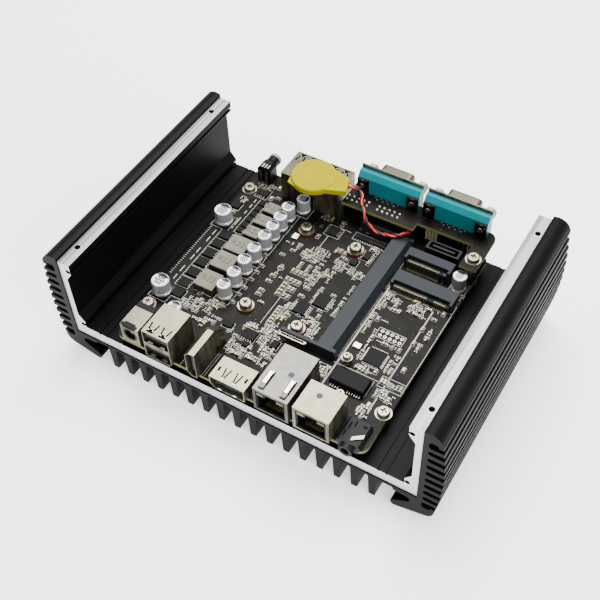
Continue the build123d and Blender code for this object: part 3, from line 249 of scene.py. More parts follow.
def add_tube(shape, points, radius, finish_number, sides=10):
    """Adds a closed round tube along the points."""
    rings = []
    for point, (across, over) in zip(points, moving_frames(points)):
        angles = [2 * math.pi * side / sides for side in range(sides)]
        rim = [point + (across * math.cos(angle) + over * math.sin(angle)) * radius for angle in angles]
        rings.append([shape.verts.new(corner) for corner in rim])
    faces = [shape.faces.new(list(reversed(rings[0]))), shape.faces.new(rings[-1])]
    for near, far in zip(rings, rings[1:]):
        for side in range(sides):
            other = (side + 1) % sides
            faces.append(shape.faces.new((near[side], near[other], far[other], far[side])))
    for face in faces:
        face.material_index = finish_number
        face.smooth = True


lead_route = curve_points(
    [(x * mm, board_rear - ahead * mm, board_top + up * mm) for x, ahead, up in lead_stations]
)
travelled = [0.0]
for here, there in zip(lead_route, lead_route[1:]):
    travelled.append(travelled[-1] + (there - here).length)
lead_shape = bmesh.new()
for strand in (0, 1):
    turns = [2 * math.pi * run / twist_pitch + strand * math.pi + twist_start for run in travelled]
    strand_points = [
        point + (across * math.cos(turn) + over * math.sin(turn)) * wire_spread
        for point, (across, over), turn in zip(lead_route, moving_frames(lead_route), turns)
    ]
    add_tube(lead_shape, strand_points, wire_radius, strand)
lead_finishes = [insulation("red_insulation", (214, 24, 20)), insulation("black_insulation", (34, 36, 36))]
battery_wires = settle("battery_wires", lead_shape, "lead_sheath", *lead_finishes)
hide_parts("battery_lead")

# Case: one extrusion of aluminium with the fins on its sides and under its floor, anodised
# black. Both end seats and the tops of the rails were milled bright afterwards.
case_low, case_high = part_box("chassis")
seat_face = case_high.y - 0.6 * mm
land_level = case_high.z - 2.0 * mm
reach_of_cut = 0.1 * mm


def dress(material, *nodes):
    """Gives CAD nodes their finish."""
    for node in nodes:
        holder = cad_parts[node]
        if not holder.material_slots:
            holder.data.materials.append(material)
        for slot in holder.material_slots:
            slot.material = material


def axis_of(place, axis):
    """One coordinate of a place or direction: 0 across, 1 along, 2 up."""
    return place.node("SeparateXYZ", None, {0: place}, out=axis)


def facing(place):
    """The direction that the surface faces, in the part's own axes."""
    return Wire(place.socket.node.outputs["Normal"])


def anodised_extrusion():
    """Satin black with drawing lines along the case, and the bright cut of the milled faces."""
    material, place = finish("anodised_extrusion", Specular_IOR_Level=0.06)
    lines = mottle(place, 0.35, stretch=(1, 60, 1), detail=3.0)
    clouds = mottle(place, 14.0)
    black = tint(clouds, paint(4, 4, 4), paint(9, 9, 9))
    end_side = abs(axis_of(place, 1))
    end_facing = abs(axis_of(facing(place), 1)) > 0.9
    seat = end_facing * (abs(end_side - seat_face) < reach_of_cut)
    top_facing = axis_of(facing(place), 2) > 0.9
    land = top_facing * (abs(axis_of(place, 2) - land_level) < reach_of_cut)
    milled = seat + land
    cutter = mottle(place, 0.25, stretch=(30, 1, 1), detail=3.0)
    drawn = mottle(place, 1.7, stretch=(1, 80, 1), detail=1.0)
    rail = tint(ease(drawn, 0.42, 0.5), paint(112, 113, 115), paint(150, 151, 153))
    bright = tint(seat, rail, tint(cutter, paint(186, 187, 189), paint(214, 215, 217)))
    sawn = end_facing * (end_side > seat_face + 0.3 * mm)
    dark = tint(sawn, black, paint(14, 14, 15))
    return feed(
        material,
        Base_Color=tint(milled, dark, bright),
        Metallic=0.75 * milled,
        Roughness=0.4 + 0.12 * lines + 0.06 * clouds,
        Normal=relief(lines * (1 - milled) + 0.4 * cutter * milled, 0.02),
    )


anodised = anodised_extrusion()
dress(anodised, "chassis")
fin_pitch, fin_count, fin_reach = 8.0, 17, 13.2
fin_end_gap = 0.02 * mm
# Each fin under the floor tapers to a blunt foot.
fin_outline = ((-1.45, 0.01), (1.1, 0.01), (1.45, 0.5), (2.05, fin_reach), (-2.05, fin_reach))


def add_plate(shape, corners, rise, finish_number=0):
    """Adds a flat plate whose outline is corners and whose thickness is the vector rise."""
    lower = [shape.verts.new(corner) for corner in corners]
    upper = [shape.verts.new(corner + rise) for corner in corners]
    made = [shape.faces.new(upper), shape.faces.new(list(reversed(lower)))]
    for number in range(len(corners)):
        other = (number + 1) % len(corners)
        made.append(shape.faces.new((lower[number], lower[other], upper[other], upper[number])))
    for face in made:
        face.material_index = finish_number


fin_flanks = bmesh.new()
for number in range(fin_count):
    middle = (number - (fin_count - 1) / 2) * fin_pitch
    corner = Vector((middle * mm, case_low.y + fin_end_gap, case_low.z))
    corners = [corner + Vector((x, 0, up)) * mm for x, up in fin_outline]
    add_plate(fin_flanks, corners, Vector((0, case_high.y - case_low.y - 2 * fin_end_gap, 0)))
settle("floor_fin_flanks", fin_flanks, "black_anodised", anodised)

# Heat path under the board: the processor's package lies against a soft pad on a cast
# aluminium block, and hexagon pillars of plated brass hold the board over the case floor.


def cast_aluminium():
    """Bare cast metal with the fine grain of its skin."""
    material, place = finish("cast_aluminium", Metallic=0.9)
    grain = mottle(place, 0.5, detail=4.0)
    return feed(material, Base_Color=tint(grain, paint(150, 151, 152), paint(182, 183, 184)),
                Roughness=0.42 + 0.2 * grain, Normal=relief(grain, 0.05))


def plain_moulding(name, colour, gloss=0.5, shine=0.5):
    """Moulded plastic or resin: the fine grain of the mould and slight clouds in its colour."""
    material, place = finish(name, Specular_IOR_Level=shine)
    grain = mottle(place, 0.25, detail=3.0)
    clouds = mottle(place, 5.0)
    colour = paint(*colour)
    return feed(material, Base_Color=tint(clouds, colour, shade(colour, 1.25)),
                Roughness=gloss - 0.08 + 0.16 * grain, Normal=relief(grain, 0.015))


def plated(name, low, high, rough=0.28):
    """Plated metal: its two tones run into each other, over a fine rolled grain."""
    material, place = finish(name, Metallic=1.0)
    rolled = mottle(place, 0.3, detail=3.0)
    stains = mottle(place, 4.0, detail=3.0)
    return feed(material, Base_Color=tint(stains, paint(*low), paint(*high)),
                Roughness=rough + 0.12 * rolled + 0.1 * stains, Normal=relief(rolled, 0.006))


brass_plating = plated("nickel_on_brass", (118, 113, 96), (156, 150, 130))
dress(cast_aluminium(), "heat_block")
dress(plain_moulding("grey_pad", (120, 124, 128), gloss=0.8), "thermal_pad")
dress(plain_moulding("package_green", (28, 74, 44), gloss=0.4), "processor")
dress(brass_plating, "board_standoffs", "serial_standoff", "card_spacer")

# Main board: four layers or more of glass laminate with a black mask on both faces, tracks
# that just show through it, plated holes, and its sawn edge bare.


def board_laminate():
    """Dark mask over tracks and filled areas, small plated holes, and a pale sawn edge."""
    material, place = finish("board_laminate", Specular_IOR_Level=0.06)
    across, along = axis_of(place, 0), axis_of(place, 1)
    poured = ease(mottle(place, 9.0, detail=3.0), 0.49, 0.53)
    patch = place.node("TexVoronoi", None, {"Vector": place, "Scale": 1 / (7 * mm)}, out="Color")
    upright = axis_of(patch, 0) > 0.5
    ways = upright * across + (1 - upright) * along
    pitch = 0.55 * mm
    ripple = ways.node("Math", {"operation": "PINGPONG"}, {0: ways, 1: pitch / 2})
    track = (ripple > pitch * 0.3) * (axis_of(patch, 1) > 0.35)
    shown = 0.5 * track + 0.5 * poured
    mask = tint(shown, paint(10, 9, 8), paint(23, 21, 17))
    holes = place.node("TexVoronoi", None, {"Vector": place, "Scale": 1 / (2.3 * mm)}, out="Distance")
    hole = (holes < 0.09) * (mottle(place, 12.0) > 0.47)
    mask = tint(hole, mask, paint(86, 80, 62))
    edge = abs(axis_of(facing(place), 2)) < 0.5
    layers = mottle(place, 0.5, stretch=(20, 20, 0.6))
    sawn = tint(layers, paint(84, 82, 44), paint(124, 120, 72))
    weave = mottle(place, 0.4)
    return feed(
        material,
        Base_Color=tint(edge, mask, sawn),
        Roughness=0.34 + 0.1 * weave + 0.3 * edge,
        Normal=relief(0.6 * track + 0.4 * poured + 0.2 * weave, 0.02),
    )


front_end = case_low.y


def at(x, y, z=0.0):
    """A place over the main board: millimetres across, back from the case's front end, and up."""
    return Vector((x * mm, front_end + y * mm, board_top + z * mm))


def add_block(shape, centre, size, finish_number=0, turn=0.0):
    """Adds an upright block that stands on centre: its size in millimetres, turned in degrees."""
    width, length, height = (extent * mm for extent in size)
    spin = Matrix.Rotation(math.radians(turn), 3, "Z")
    corners = []
    for up in (0, height):
        for x, y in ((-1, -1), (1, -1), (1, 1), (-1, 1)):
            corners.append(shape.verts.new(centre + spin @ Vector((x * width / 2, y * length / 2, up))))
    sides = ((3, 2, 1, 0), (4, 5, 6, 7), (0, 1, 5, 4), (1, 2, 6, 5), (2, 3, 7, 6), (3, 0, 4, 7))
    for side in sides:
        shape.faces.new([corners[number] for number in side]).material_index = finish_number


def add_turned(shape, centre, profile, finish_number=0, sides=40, ahead=False):
    """Adds a body turned from a closed profile of radii and heights, upright or facing ahead."""
    loops = []
    for radius, up in profile:
        loop = []
        for side in range(sides if radius else 1):
            angle = 2 * math.pi * side / sides
            right, over = math.cos(angle) * radius, math.sin(angle) * radius
            point = Vector((right, -up, over) if ahead else (right, over, up))
            loop.append(shape.verts.new(centre + point * mm))
        loops.append(loop)
    for near, far in zip(loops, loops[1:] + loops[:1]):
        for side in range(sides):
            other = (side + 1) % sides
            ways = ((near, side), (near, other), (far, other), (far, side))
            corners = list(dict.fromkeys(loop[number % len(loop)] for loop, number in ways))
            if len(corners) > 2:
                shape.faces.new(corners).material_index = finish_number


def add_ring(shape, centre, inner, outer, height, finish_number=0, sides=40, ahead=False):
    """Adds a flat ring, or a disc where inner is 0, with its sizes in millimetres."""
    profile = ((outer, 0), (outer, height), (inner, height), (inner, 0))
    add_turned(shape, centre, profile, finish_number, sides, ahead)


def measured(low, high):
    """The lowest and highest corners of a box and its middle, in the millimetres that at takes."""
    near, far = (low - at(0, 0)) / mm, (high - at(0, 0)) / mm
    return near, far, (near + far) / 2


def solids_of(node):
    """What measured gives for each separate solid of a CAD node, from the left front."""
    shape = bmesh.new()
    shape.from_mesh(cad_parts[node].data)
    bmesh.ops.remove_doubles(shape, verts=shape.verts, dist=0.002 * mm)
    seen, found = set(), []
    for start in shape.verts:
        group, fresh = set(), {start} - seen
        while fresh:
            group |= fresh
            fresh = {edge.other_vert(vertex) for vertex in fresh for edge in vertex.link_edges} - group
        if group:
            seen |= group
            low = Vector([min(vertex.co[axis] for vertex in group) for axis in range(3)])
            high = Vector([max(vertex.co[axis] for vertex in group) for axis in range(3)])
            found.append(measured(low, high))
    shape.free()
    return sorted(found, key=lambda box: (round(box[0].x, 1), round(box[0].y, 1)))


laminate = board_laminate()
dress(laminate, "main_board")
white_print = plain_moulding("white_print", (150, 151, 145), gloss=0.6, shine=0.1)
solder_tin = plated("solder_tin", (108, 106, 96), (160, 157, 145), rough=0.22)
print_height = 0.03


def rule(shape, x1, y1, x2, y2, width=0.16, level=0.0, rise=print_height):
    """Lays one straight line between two places on the board."""
    start, stop = at(x1, y1, level), at(x2, y2, level)
    run = stop - start
    turn = math.degrees(math.atan2(run.y, run.x))
    add_block(shape, (start + stop) / 2, (run.length / mm, width, rise), 0, turn)


def frame_round(shape, x, y, width, length, line=0.13):
    """Prints a rectangle round the place of a part."""
    for side in (-1, 1):
        far, end = x + side * width / 2, y + side * length / 2
        rule(shape, x - width / 2, end, x + width / 2, end, line)
        rule(shape, far, y - length / 2, far, y + length / 2, line)


board_print = bmesh.new()
front_dashes = ((38, 41), (43, 47), (51.3, 54.5), (56, 59.5), (64, 67.3), (69, 72.3))
rear_dashes = ((76.5, 78), (79, 84.5), (87.5, 89.6), (92, 94.4), (96, 98))
for x, dashes in ((-56.4, front_dashes), (-50.8, rear_dashes)):
    for y1, y2 in dashes:
        rule(board_print, x, y1, x, y2, 0.45)
for y1, y2 in ((35.7, 41.8), (41.8, 48.6), (48.6, 55.0), (55.0, 61.6), (61.6, 68.0), (68.0, 73.8)):
    frame_round(board_print, -50.9, (y1 + y2) / 2, 6.8, y2 - y1 - 0.5, 0.17)
for y1, y2 in ((75.2, 80.6), (81.2, 86.6), (87.2, 92.6), (93.2, 98.6)):
    frame_round(board_print, -46.8, (y1 + y2) / 2, 4.2, y2 - y1, 0.15)
lines_along = ((-9.3, 35.5, 60, 0.25), (-9.3, 76, 94, 0.25), (29.3, 21, 84, 0.7), (51.9, 18, 77, 0.6),
               (59.6, 31, 84, 0.3), (-35.6, 38, 46, 0.2), (47.2, 23.5, 32.5, 0.2))
for x, y1, y2, line in lines_along:
    rule(board_print, x, y1, x, y2, line)
lines_across = ((28, 60, 33.2, 0.3), (30, 59.6, 79.4, 0.5), (-12, -1, 101, 0.2), (0, 5, 30.6, 0.2),
                (22.5, 28.5, 30.4, 0.2), (-45, -35.6, 37.2, 0.2), (-52.6, -46, 29.5, 0.2))
for x1, x2, y, line in lines_across:
    rule(board_print, x1, y, x2, y, line)
frame_round(board_print, 54.2, 34.0, 10.5, 5.5, 0.3)
frame_round(board_print, 42.4, 56.0, 12.4, 5.2, 0.3)
for step in range(28):
    rule(board_print, -60.2, 40.5 + step * 1.2, -59.3, 40.5 + step * 1.2, 0.22)
for x in (-15.6, -14.5, -26.4):
    rule(board_print, x, 0.6, x, 13.5, 0.14)
settle("board_print", board_print, "board_laminate", white_print)
header_rings = bmesh.new()
for column in range(5):
    for row in range(2):
        add_ring(header_rings, at(38.0 + 2.3 * column, 54.8 + 2.4 * row), 0.4, 0.8, print_height, sides=16)
settle("header_rings", header_rings, "board_laminate", solder_tin)

# Screws: nickel-plated steel with pan heads and cross recesses. Each stands in a ring of bare
# tinned copper. The four processor screws have steel washers over red fibre washers.
screw_plating = plated("screw_nickel", (96, 91, 76), (148, 143, 126), rough=0.16)
dress(screw_plating, "board_screws", "serial_screw", "cpu_screws", "small_screws", "screw_washers")
dress(plain_moulding("red_fibre", (58, 15, 7), gloss=0.7, shine=0.05), "fibre_washers")
screw_rings = bmesh.new()
second_top = measured(*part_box("serial_board"))[1].z
for low, high, middle in solids_of("board_screws") + solids_of("serial_screw"):
    level = 0 if low.z < -2 else second_top
    add_ring(screw_rings, at(middle.x, middle.y, level), 1.7, 3.5, print_height)
settle("screw_rings", screw_rings, "board_laminate", solder_tin)

# Power inlet: a black moulding with a round socket and a pin in its middle, held by a folded
# shield of tin-plated steel whose legs are soldered through the board.


def folded_tin(name, low, high):
    """Tin-plated sheet: satin on top; its folded sides rougher, streaked and painted darker as shade."""
    material, place = finish(name, Metallic=0.82)
    up = axis_of(facing(place), 2) > 0.5
    streaks = mottle(place, 4.5, stretch=(1, 1, 4), detail=2.0)
    stains = mottle(place, 4.0, detail=3.0)
    low, high = paint(*low), paint(*high)
    # The sides are darker than the top only by the way they face: painted shade, with streaks through it.
    side = tint(ease(streaks, 0.38, 0.68), shade(low, 0.45), high)
    return feed(material, Base_Color=tint(up, side, tint(stains, low, high)),
                Roughness=0.42 - 0.18 * up, Normal=relief(streaks, 0.008))


shield_tin = folded_tin("shield_tin", (84, 81, 66), (116, 112, 94))
black_resin = plain_moulding("black_resin", (9, 9, 9), gloss=0.42, shine=0.1)
gold_plating = plated("gold_contacts", (148, 122, 66), (190, 164, 104), rough=0.2)
dress(shield_tin, "power_inlet_shield")
dress(black_resin, "power_inlet_body")
dress(brass_plating, "power_inlet_pin")
low, high, middle = measured(*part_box("power_inlet_shield"))
pin_level = 4.8
inlet_strip = bmesh.new()
add_block(inlet_strip, at(middle.x - 0.5, 1.2, high.z), (7.6, 1.5, 0.3))
add_block(inlet_strip, at(middle.x - 0.5, 2.3, high.z), (5.2, 0.9, 0.2))
# A black ring round the socket's mouth widens its dark opening: painted shade of the hole.
add_ring(inlet_strip, at(middle.x, 0.28, pin_level), 2.7, 3.5, 0.06, ahead=True)
add_ring(inlet_strip, at(middle.x, 1.9, pin_level), 0, 0.85, 0.3, 1, ahead=True)
settle("power_inlet_strip", inlet_strip, "package_black", black_resin, brass_plating, soften=0.04)

# Double USB ports, one in front and two at the rear: a folded shield of tin-plated steel round
# a moulding with two tongues. Springs cut from its top and sides hold the plugs.
dress(shield_tin, "usb_front_shield", "usb_rear_shields")
dress(black_resin, "usb_front_insert", "usb_rear_inserts")
# Near-black sheets laid in slits and slots: painted shade inside the cuts.
painted_slit_shade = plain_moulding("painted_slit_shade", (6, 5, 4), gloss=0.8, shine=0.05)
# Bright tin: the colour of real tinned parts, and also of the painted highlights on edges, lips and spring
# tips.
tin_and_painted_highlight = plated("tin_and_painted_highlight", (190, 187, 172), (222, 219, 206), rough=0.2)
skin = 0.05
usb_side_slits, usb_tops, usb_slits, usb_contacts_and_glints = (bmesh.new() for shape in range(4))
for low, high, middle in solids_of("usb_front_shield") + solids_of("usb_rear_shields"):
    # The front port stands out past the case's front end.
    outward, mouth = (-1, low.y) if low.y < 0 else (1, high.y)
    face, top = mouth - 0.5 * outward, high.z + skin
    opening, tip, root = (face - depth * outward for depth in (1.7, 2.0, 6.0))
    add_block(usb_tops, at(middle.x, face - 4.6 * outward, high.z), (10.6, 7.6, skin))
    # Dark rules over each spring's mouth and along its sides: painted shade in the slits cut round the top
    # springs.
    for x in (middle.x - 3.0, middle.x + 3.0):
        rule(usb_slits, x - 1.6, opening, x + 1.6, opening, 1.7, top)
        for edge in (-1, 1):
            rule(usb_slits, x + 1.2 * edge, tip, x + 1.9 * edge, root, 0.7, top)
            # A bright tick at each slit's tip: a painted highlight.
            hook = x + 1.1 * edge
            rule(usb_contacts_and_glints, hook - 0.3, tip, hook + 0.3, tip, 0.35, top + print_height)
        for level in (0.75, 9.25):
            add_block(usb_contacts_and_glints, at(x, face - 1.9 * outward, level), (2.4, 3.2, 0.4))
            # A thin bright strip along each mouth's lip: a painted highlight.
            lip = at(middle.x, face - 0.8 * outward, level - 0.3)
            add_block(usb_contacts_and_glints, lip, (11.4, 1.0, 0.14))
    # Thin dark strips on both sides of each shield: painted shade in the slits round the side springs.
    for x in (low.x, high.x):
        for base in (2.2, 9.4):
            for edge in (0.0, 2.4):
                add_block(usb_side_slits, at(x, mouth - 4.4 * outward, base + edge), (0.06, 5.4, 0.22))
            add_block(usb_side_slits, at(x, mouth - 1.8 * outward, base), (0.06, 0.25, 2.6))
settle("usb_side_slit_shade", usb_side_slits, "plated_steel", painted_slit_shade)
settle("usb_top_skins", usb_tops, "plated_steel", shield_tin)
settle("usb_top_slits", usb_slits, "plated_steel", painted_slit_shade)
settle("usb_mouth_springs_and_glints", usb_contacts_and_glints, "plated_steel", tin_and_painted_highlight)

# Video ports: an upright and a flat shell of tin-plated steel, each round a moulding with a
# tongue of contacts. The upright one slopes down to its solder side at the rear.
dress(shield_tin, "video_port_shell", "display_port_shell")
dress(black_resin, "video_port_insert", "display_port_insert")
low, high, middle = measured(*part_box("video_port_shell"))
# A darker tin for the sloping tail than for the rest of the shell.
dark_tail_tin = plated("dark_tail_tin", (58, 51, 36), (128, 120, 96), rough=0.2)
video_tail = bmesh.new()
tail_outline = ((-0.1, 0), (7.2, 0), (6.4, 9.6), (-0.1, high.z - 0.1))
tail_corners = [at(low.x + 0.1, high.y + back, up) for back, up in tail_outline]
add_plate(video_tail, tail_corners, Vector((high.x - low.x - 0.2, 0, 0)) * mm)
settle("video_port_tail", video_tail, "plated_steel", dark_tail_tin, soften=0.4)
# Thin dark strips on the upright shell's side: painted shade in the slits round its springs.
video_slits = bmesh.new()
for base in (3.0, 8.4):
    for up in (base, base + 2.2):
        add_block(video_slits, at(high.x, 4.2, up), (0.06, 6.0, 0.22))
    add_block(video_slits, at(high.x, 1.2, base), (0.06, 0.22, 2.4))
low, high, middle = measured(*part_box("display_port_shell"))
top = high.z + skin
display_skin = bmesh.new()
add_block(display_skin, at(middle.x, 3.7, high.z), (15.6, 9.4, skin))
settle("display_port_skin", display_skin, "plated_steel", shield_tin)
display_ends = bmesh.new()
for side in (-1, 1):
    end, spring = middle.x + 6.4 * side, middle.x + 2.7 * side
    # Dark rules on the flat shell's top: painted shade in its end slots and the slits round its springs.
    rule(video_slits, end, 1.7, end, 4.1, 0.95, top)
    for edge in (-1, 1):
        rule(video_slits, spring + 0.45 * edge, -0.4, spring + 1.25 * edge, 4.7, 0.6, top)
    add_block(display_ends, at(middle.x + 3.5 * side, -0.6, 0.42), (6.8, 2.6, 0.12))
    # A bright tick at each spring's front end: a painted highlight.
    rule(display_ends, spring - 0.6, -0.7, spring + 0.6, -0.7, 0.3, top)
    add_block(display_ends, at(middle.x + 3.6 * side, -1.9, 0.5), (1.6, 0.6, 0.9))
settle("video_port_slits", video_slits, "plated_steel", painted_slit_shade)
settle("display_port_ends", display_ends, "plated_steel", tin_and_painted_highlight)

# Network ports: mouldings with stepped mouths and eight gold springs, in folded shields. Two
# light windows fill the upper corners of each mouth.
port_tin = folded_tin("port_tin", (60, 59, 54), (92, 91, 85))
dress(port_tin, "lan_a_shield")
dress(shield_tin, "lan_b_shield")
dress(black_resin, "lan_a_housing", "lan_b_housing")
dress(gold_plating, "lan_contacts")


def light_window(name, colour):
    """Clear tinted plastic at the end of a light guide."""
    material, place = finish(name, Roughness=0.25)
    colour = paint(*colour)
    return feed(material, Base_Color=tint(mottle(place, 1.2), colour, shade(colour, 0.6)))


windows = bmesh.new()
for port, colours in (("lan_b_shield", (1, 0)), ("lan_a_shield", (0, 0))):
    low, high, middle = measured(*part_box(port))
    for x, colour in zip((middle.x - 4.6, middle.x + 4.6), colours):
        add_block(windows, at(x, low.y + 0.25, 10.1), (3.0, 0.6, 1.5), colour)
window_finishes = [light_window("green_window", (4, 42, 20)), light_window("lime_window", (84, 104, 4))]
settle("port_light_windows", windows, "white_plastic", *window_finishes, soften=0.15)
port_top = 13.4
finger_slits, finger_highlights = bmesh.new(), bmesh.new()
# Dark rules round each finger: painted shade beside the raised springs.
for x in (middle.x - 4.9, middle.x + 4.9):
    for edge in (-1.25, 1.25):
        rule(finger_slits, x + edge, 1.4, x + edge, 8.8, 0.55, port_top)
    rule(finger_slits, x - 1.4, 1.3, x + 1.4, 1.3, 0.5, port_top)
    # A bright strip on each finger: a painted highlight along its curve.
    add_block(finger_highlights, at(x, 5.0, port_top + 0.75), (1.7, 6.4, 0.2))
settle("port_finger_slits", finger_slits, "plated_steel", painted_slit_shade)
settle("port_fingers", finger_highlights, "plated_steel", tin_and_painted_highlight, soften=0.08)
dots = bmesh.new()
for x, y in ((21.7, 10.65), (36.2, 7.6)):
    add_ring(dots, at(x, y, port_top), 0.0, 1.3, print_height)
violet_ink = plain_moulding("violet_ink", (52, 50, 74), shine=0.2)
settle("port_ink_dots", dots, "plated_steel", violet_ink)

# Sound socket: a low black moulding with a round mouth, soldered in a notch of the board's front
# edge, with a gilt spring that shows on its top.
dress(plain_moulding("socket_resin", (16, 17, 18), shine=0.12), "audio_socket")
sound_spring = bmesh.new()
spring_outline = ((53.0, 1.6), (57.2, 4.6), (56.9, 6.5), (52.8, 3.4))
add_plate(sound_spring, [at(x, y, 2.98) for x, y in spring_outline], Vector((0, 0, 0.2 * mm)))
spring = settle("sound_spring", sound_spring, "plated_brass", brass_plating, soften=0.05)
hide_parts("audio_spring")
# Dark rules on the socket's top: painted shade in its slots.
sound_slots = bmesh.new()
slots = ((49.2, 3.0, 49.2, 5.4), (49.6, 6.4, 49.6, 9.6), (51.4, 8.2, 51.4, 10.8), (54.4, 9.8, 56.2, 9.8))
for ends in slots:
    rule(sound_slots, *ends, 0.4, 3.0)
settle("sound_socket_slots", sound_slots, "package_black", painted_slit_shade)

# Power button: a black switch moulding on edge, held by two soldered legs, with a round cap
# that slides in it and has a grey rim. Four tinned tabs lie on its top.
dress(black_resin, "power_button_body", "power_button_cap")
dress(solder_tin, "power_button_bracket")
low, high, middle = measured(*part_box("power_button_cap"))
button_ring = bmesh.new()
add_ring(button_ring, at(middle.x, high.y, middle.z), 2.5, 3.1, 1.6, ahead=True)
grey_ring = plain_moulding("grey_ring", (112, 113, 114), gloss=0.4)
settle("power_button_ring", button_ring, "white_plastic", grey_ring, soften=0.1, body="power_button")
button_tabs = bmesh.new()
for x in (-56.4, -54.9, -53.4, -51.9):
    add_block(button_tabs, at(x, 112.0, 9.0), (0.4, 2.4, 0.15))
settle("power_button_tabs", button_tabs, "plated_steel", tin_and_painted_highlight)

# Memory socket: a long slate-grey moulding, soldered along both its sides, with two arms that
# each carry a steel spring latch.
slate_resin = plain_moulding("slate_resin", (25, 28, 32), gloss=0.45, shine=0.14)
dress(slate_resin, "memory_socket")
dress(screw_plating, "memory_latch_front", "memory_latch_rear")
low, high, middle = measured(*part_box("memory_socket"))
bar_left, key, key_half = high.x - 8.9, 43.8, 0.9
contact_count, contact_pitch = 108, 0.62
tails, contacts = bmesh.new(), bmesh.new()
for number in range(contact_count):
    along = 2.6 + number * contact_pitch
    if abs(along - key) < key_half:
        continue
    y = low.y + along
    add_block(tails, at(bar_left - 0.55, y), (1.2, 0.3, 0.25))
    add_block(tails, at(high.x - 0.2, y), (1.5, 0.3, 0.25))
    add_block(contacts, at(bar_left + 0.6, y, 4.42), (1.6, 0.32, 0.12))
settle("memory_socket_tails", tails, "plated_brass", solder_tin)
settle("memory_socket_contacts", contacts, "plated_brass", gold_plating)

# Card sockets: slate-grey mouldings with a row of tinned springs on the sill of the slot, down
# the front and on the board, where they are soldered. Each row has a gap for the card's key.
pin_tin = plated("pin_tin", (92, 86, 64), (136, 130, 106))
dress(slate_resin, "m2_socket", "mini_pcie_socket")
card_contacts = bmesh.new()
for node, pitch, key_from, key_to in (("m2_socket", 0.5, 0.78, 0.86), ("mini_pcie_socket", 0.8, 0.6, 0.72)):
    low, high, middle = measured(*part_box(node))
    width, sill = high.x - low.x, high.z - 2.4
    for number in range(int((width - 3.6) / pitch)):
        along = 1.8 + number * pitch
        if key_from < along / width < key_to:
            continue
        x = low.x + along
        add_block(card_contacts, at(x, low.y + 1.1, sill), (pitch * 0.5, 1.9, 0.14))
        add_block(card_contacts, at(x, low.y - 0.05, 0.2), (pitch * 0.45, 0.1, sill - 0.8))
        add_block(card_contacts, at(x, low.y - 0.7), (pitch * 0.5, 1.3, 0.2))
settle("card_socket_contacts", card_contacts, "plated_brass", pin_tin)

# Disk socket, the two sockets between the boards and the open pin strip: black mouldings with
# tinned or gilt pins.
socket_black = plain_moulding("socket_black", (8, 8, 9), gloss=0.35, shine=0.12)
dress(socket_black, "disk_socket", "link_sockets", "battery_header")
dress(pin_tin, "pin_strip_pins")

# Aluminium capacitors: drawn cans in thin clear sleeves on black bases. The can's round top is
# bare and bright, with a dark sector on its negative side and strokes of dark print.
cans = solids_of("capacitor_cans")


def drawn_can():
    """Grey lacquered side and bright top of a can."""
    material, place = finish("drawn_can")
    up = axis_of(facing(place), 2) > 0.5
    drawn = mottle(place, 0.4, stretch=(1, 1, 10), detail=3.0)
    side = tint(drawn, paint(126, 127, 129), paint(164, 165, 167))
    top = tint(mottle(place, 0.8), paint(176, 178, 180), paint(208, 209, 211))
    return feed(material, Base_Color=tint(up, side, top), Metallic=0.45 - 0.05 * up,
                Roughness=0.3 + 0.1 * drawn)


can_metal = drawn_can()
dress(can_metal, "capacitor_cans")
dress(plain_moulding("base_resin", (13, 13, 14), shine=0.3), "capacitor_bases")
crown_height = 0.9
can_lip_highlights, can_crowns, can_marks = bmesh.new(), bmesh.new(), bmesh.new()
for low, high, middle in cans:
    radius = (high.x - low.x) / 2
    # A bright ring at each can's foot: a painted highlight on its rolled neck.
    add_ring(can_lip_highlights, at(middle.x, middle.y, low.z), radius - 0.3, radius + 0.1, 0.45)
    wide = radius + 0.02
    shoulder = ((wide, 0.45), (wide - 0.1, 0.7), (wide - 0.35, crown_height))
    profile = ((wide, -0.9), *shoulder, (0, crown_height), (0, -0.9))
    add_turned(can_crowns, at(middle.x, middle.y, high.z), profile)
    centre = at(middle.x, middle.y, high.z + crown_height)
    flat = radius - 0.42
    # The row beside the inductors turns its sectors to the right, the other cans to the rear.
    sector_angle = 0 if abs(middle.x + 27.1) < 1 else 90
    angles = [math.radians(sector_angle - 60 + 10 * step) for step in range(13)]
    rim = [centre + Vector((math.cos(angle), math.sin(angle), 0)) * flat * mm for angle in angles]
    add_plate(can_marks, rim, Vector((0, 0, 0.02 * mm)))
    for row, count in ((0.36, 3), (-0.08, 4), (-0.52, 3)):
        for number in range(count):
            across = (number - (count - 1) / 2) * 0.33
            place = centre + Vector((across, row, 0)) * flat * mm
            add_block(can_marks, place, (0.25 * flat, 0.36 * flat, 0.03), 1, -8)
settle("can_lip_highlights", can_lip_highlights, "bare_aluminium", tin_and_painted_highlight, soften=0.1)
settle("can_crowns", can_crowns, "bare_aluminium", can_metal)
base_frames = bmesh.new()
for low, high, middle in solids_of("capacitor_bases"):
    size = high - low
    frame_round(base_frames, middle.x, middle.y, size.x + 0.9, size.y + 0.9, 0.18)
settle("base_frames", base_frames, "board_laminate", white_print)
sector_ink = plain_moulding("can_sector", (16, 16, 20), shine=0.2)
value_ink = plain_moulding("can_ink", (48, 50, 58), shine=0.2)
settle("can_print", can_marks, "bare_aluminium", sector_ink, value_ink)

# Power inductors: blocks pressed from iron powder, painted dark brown on their rough sides and
# lighter warm grey on top, which carries their plain value.


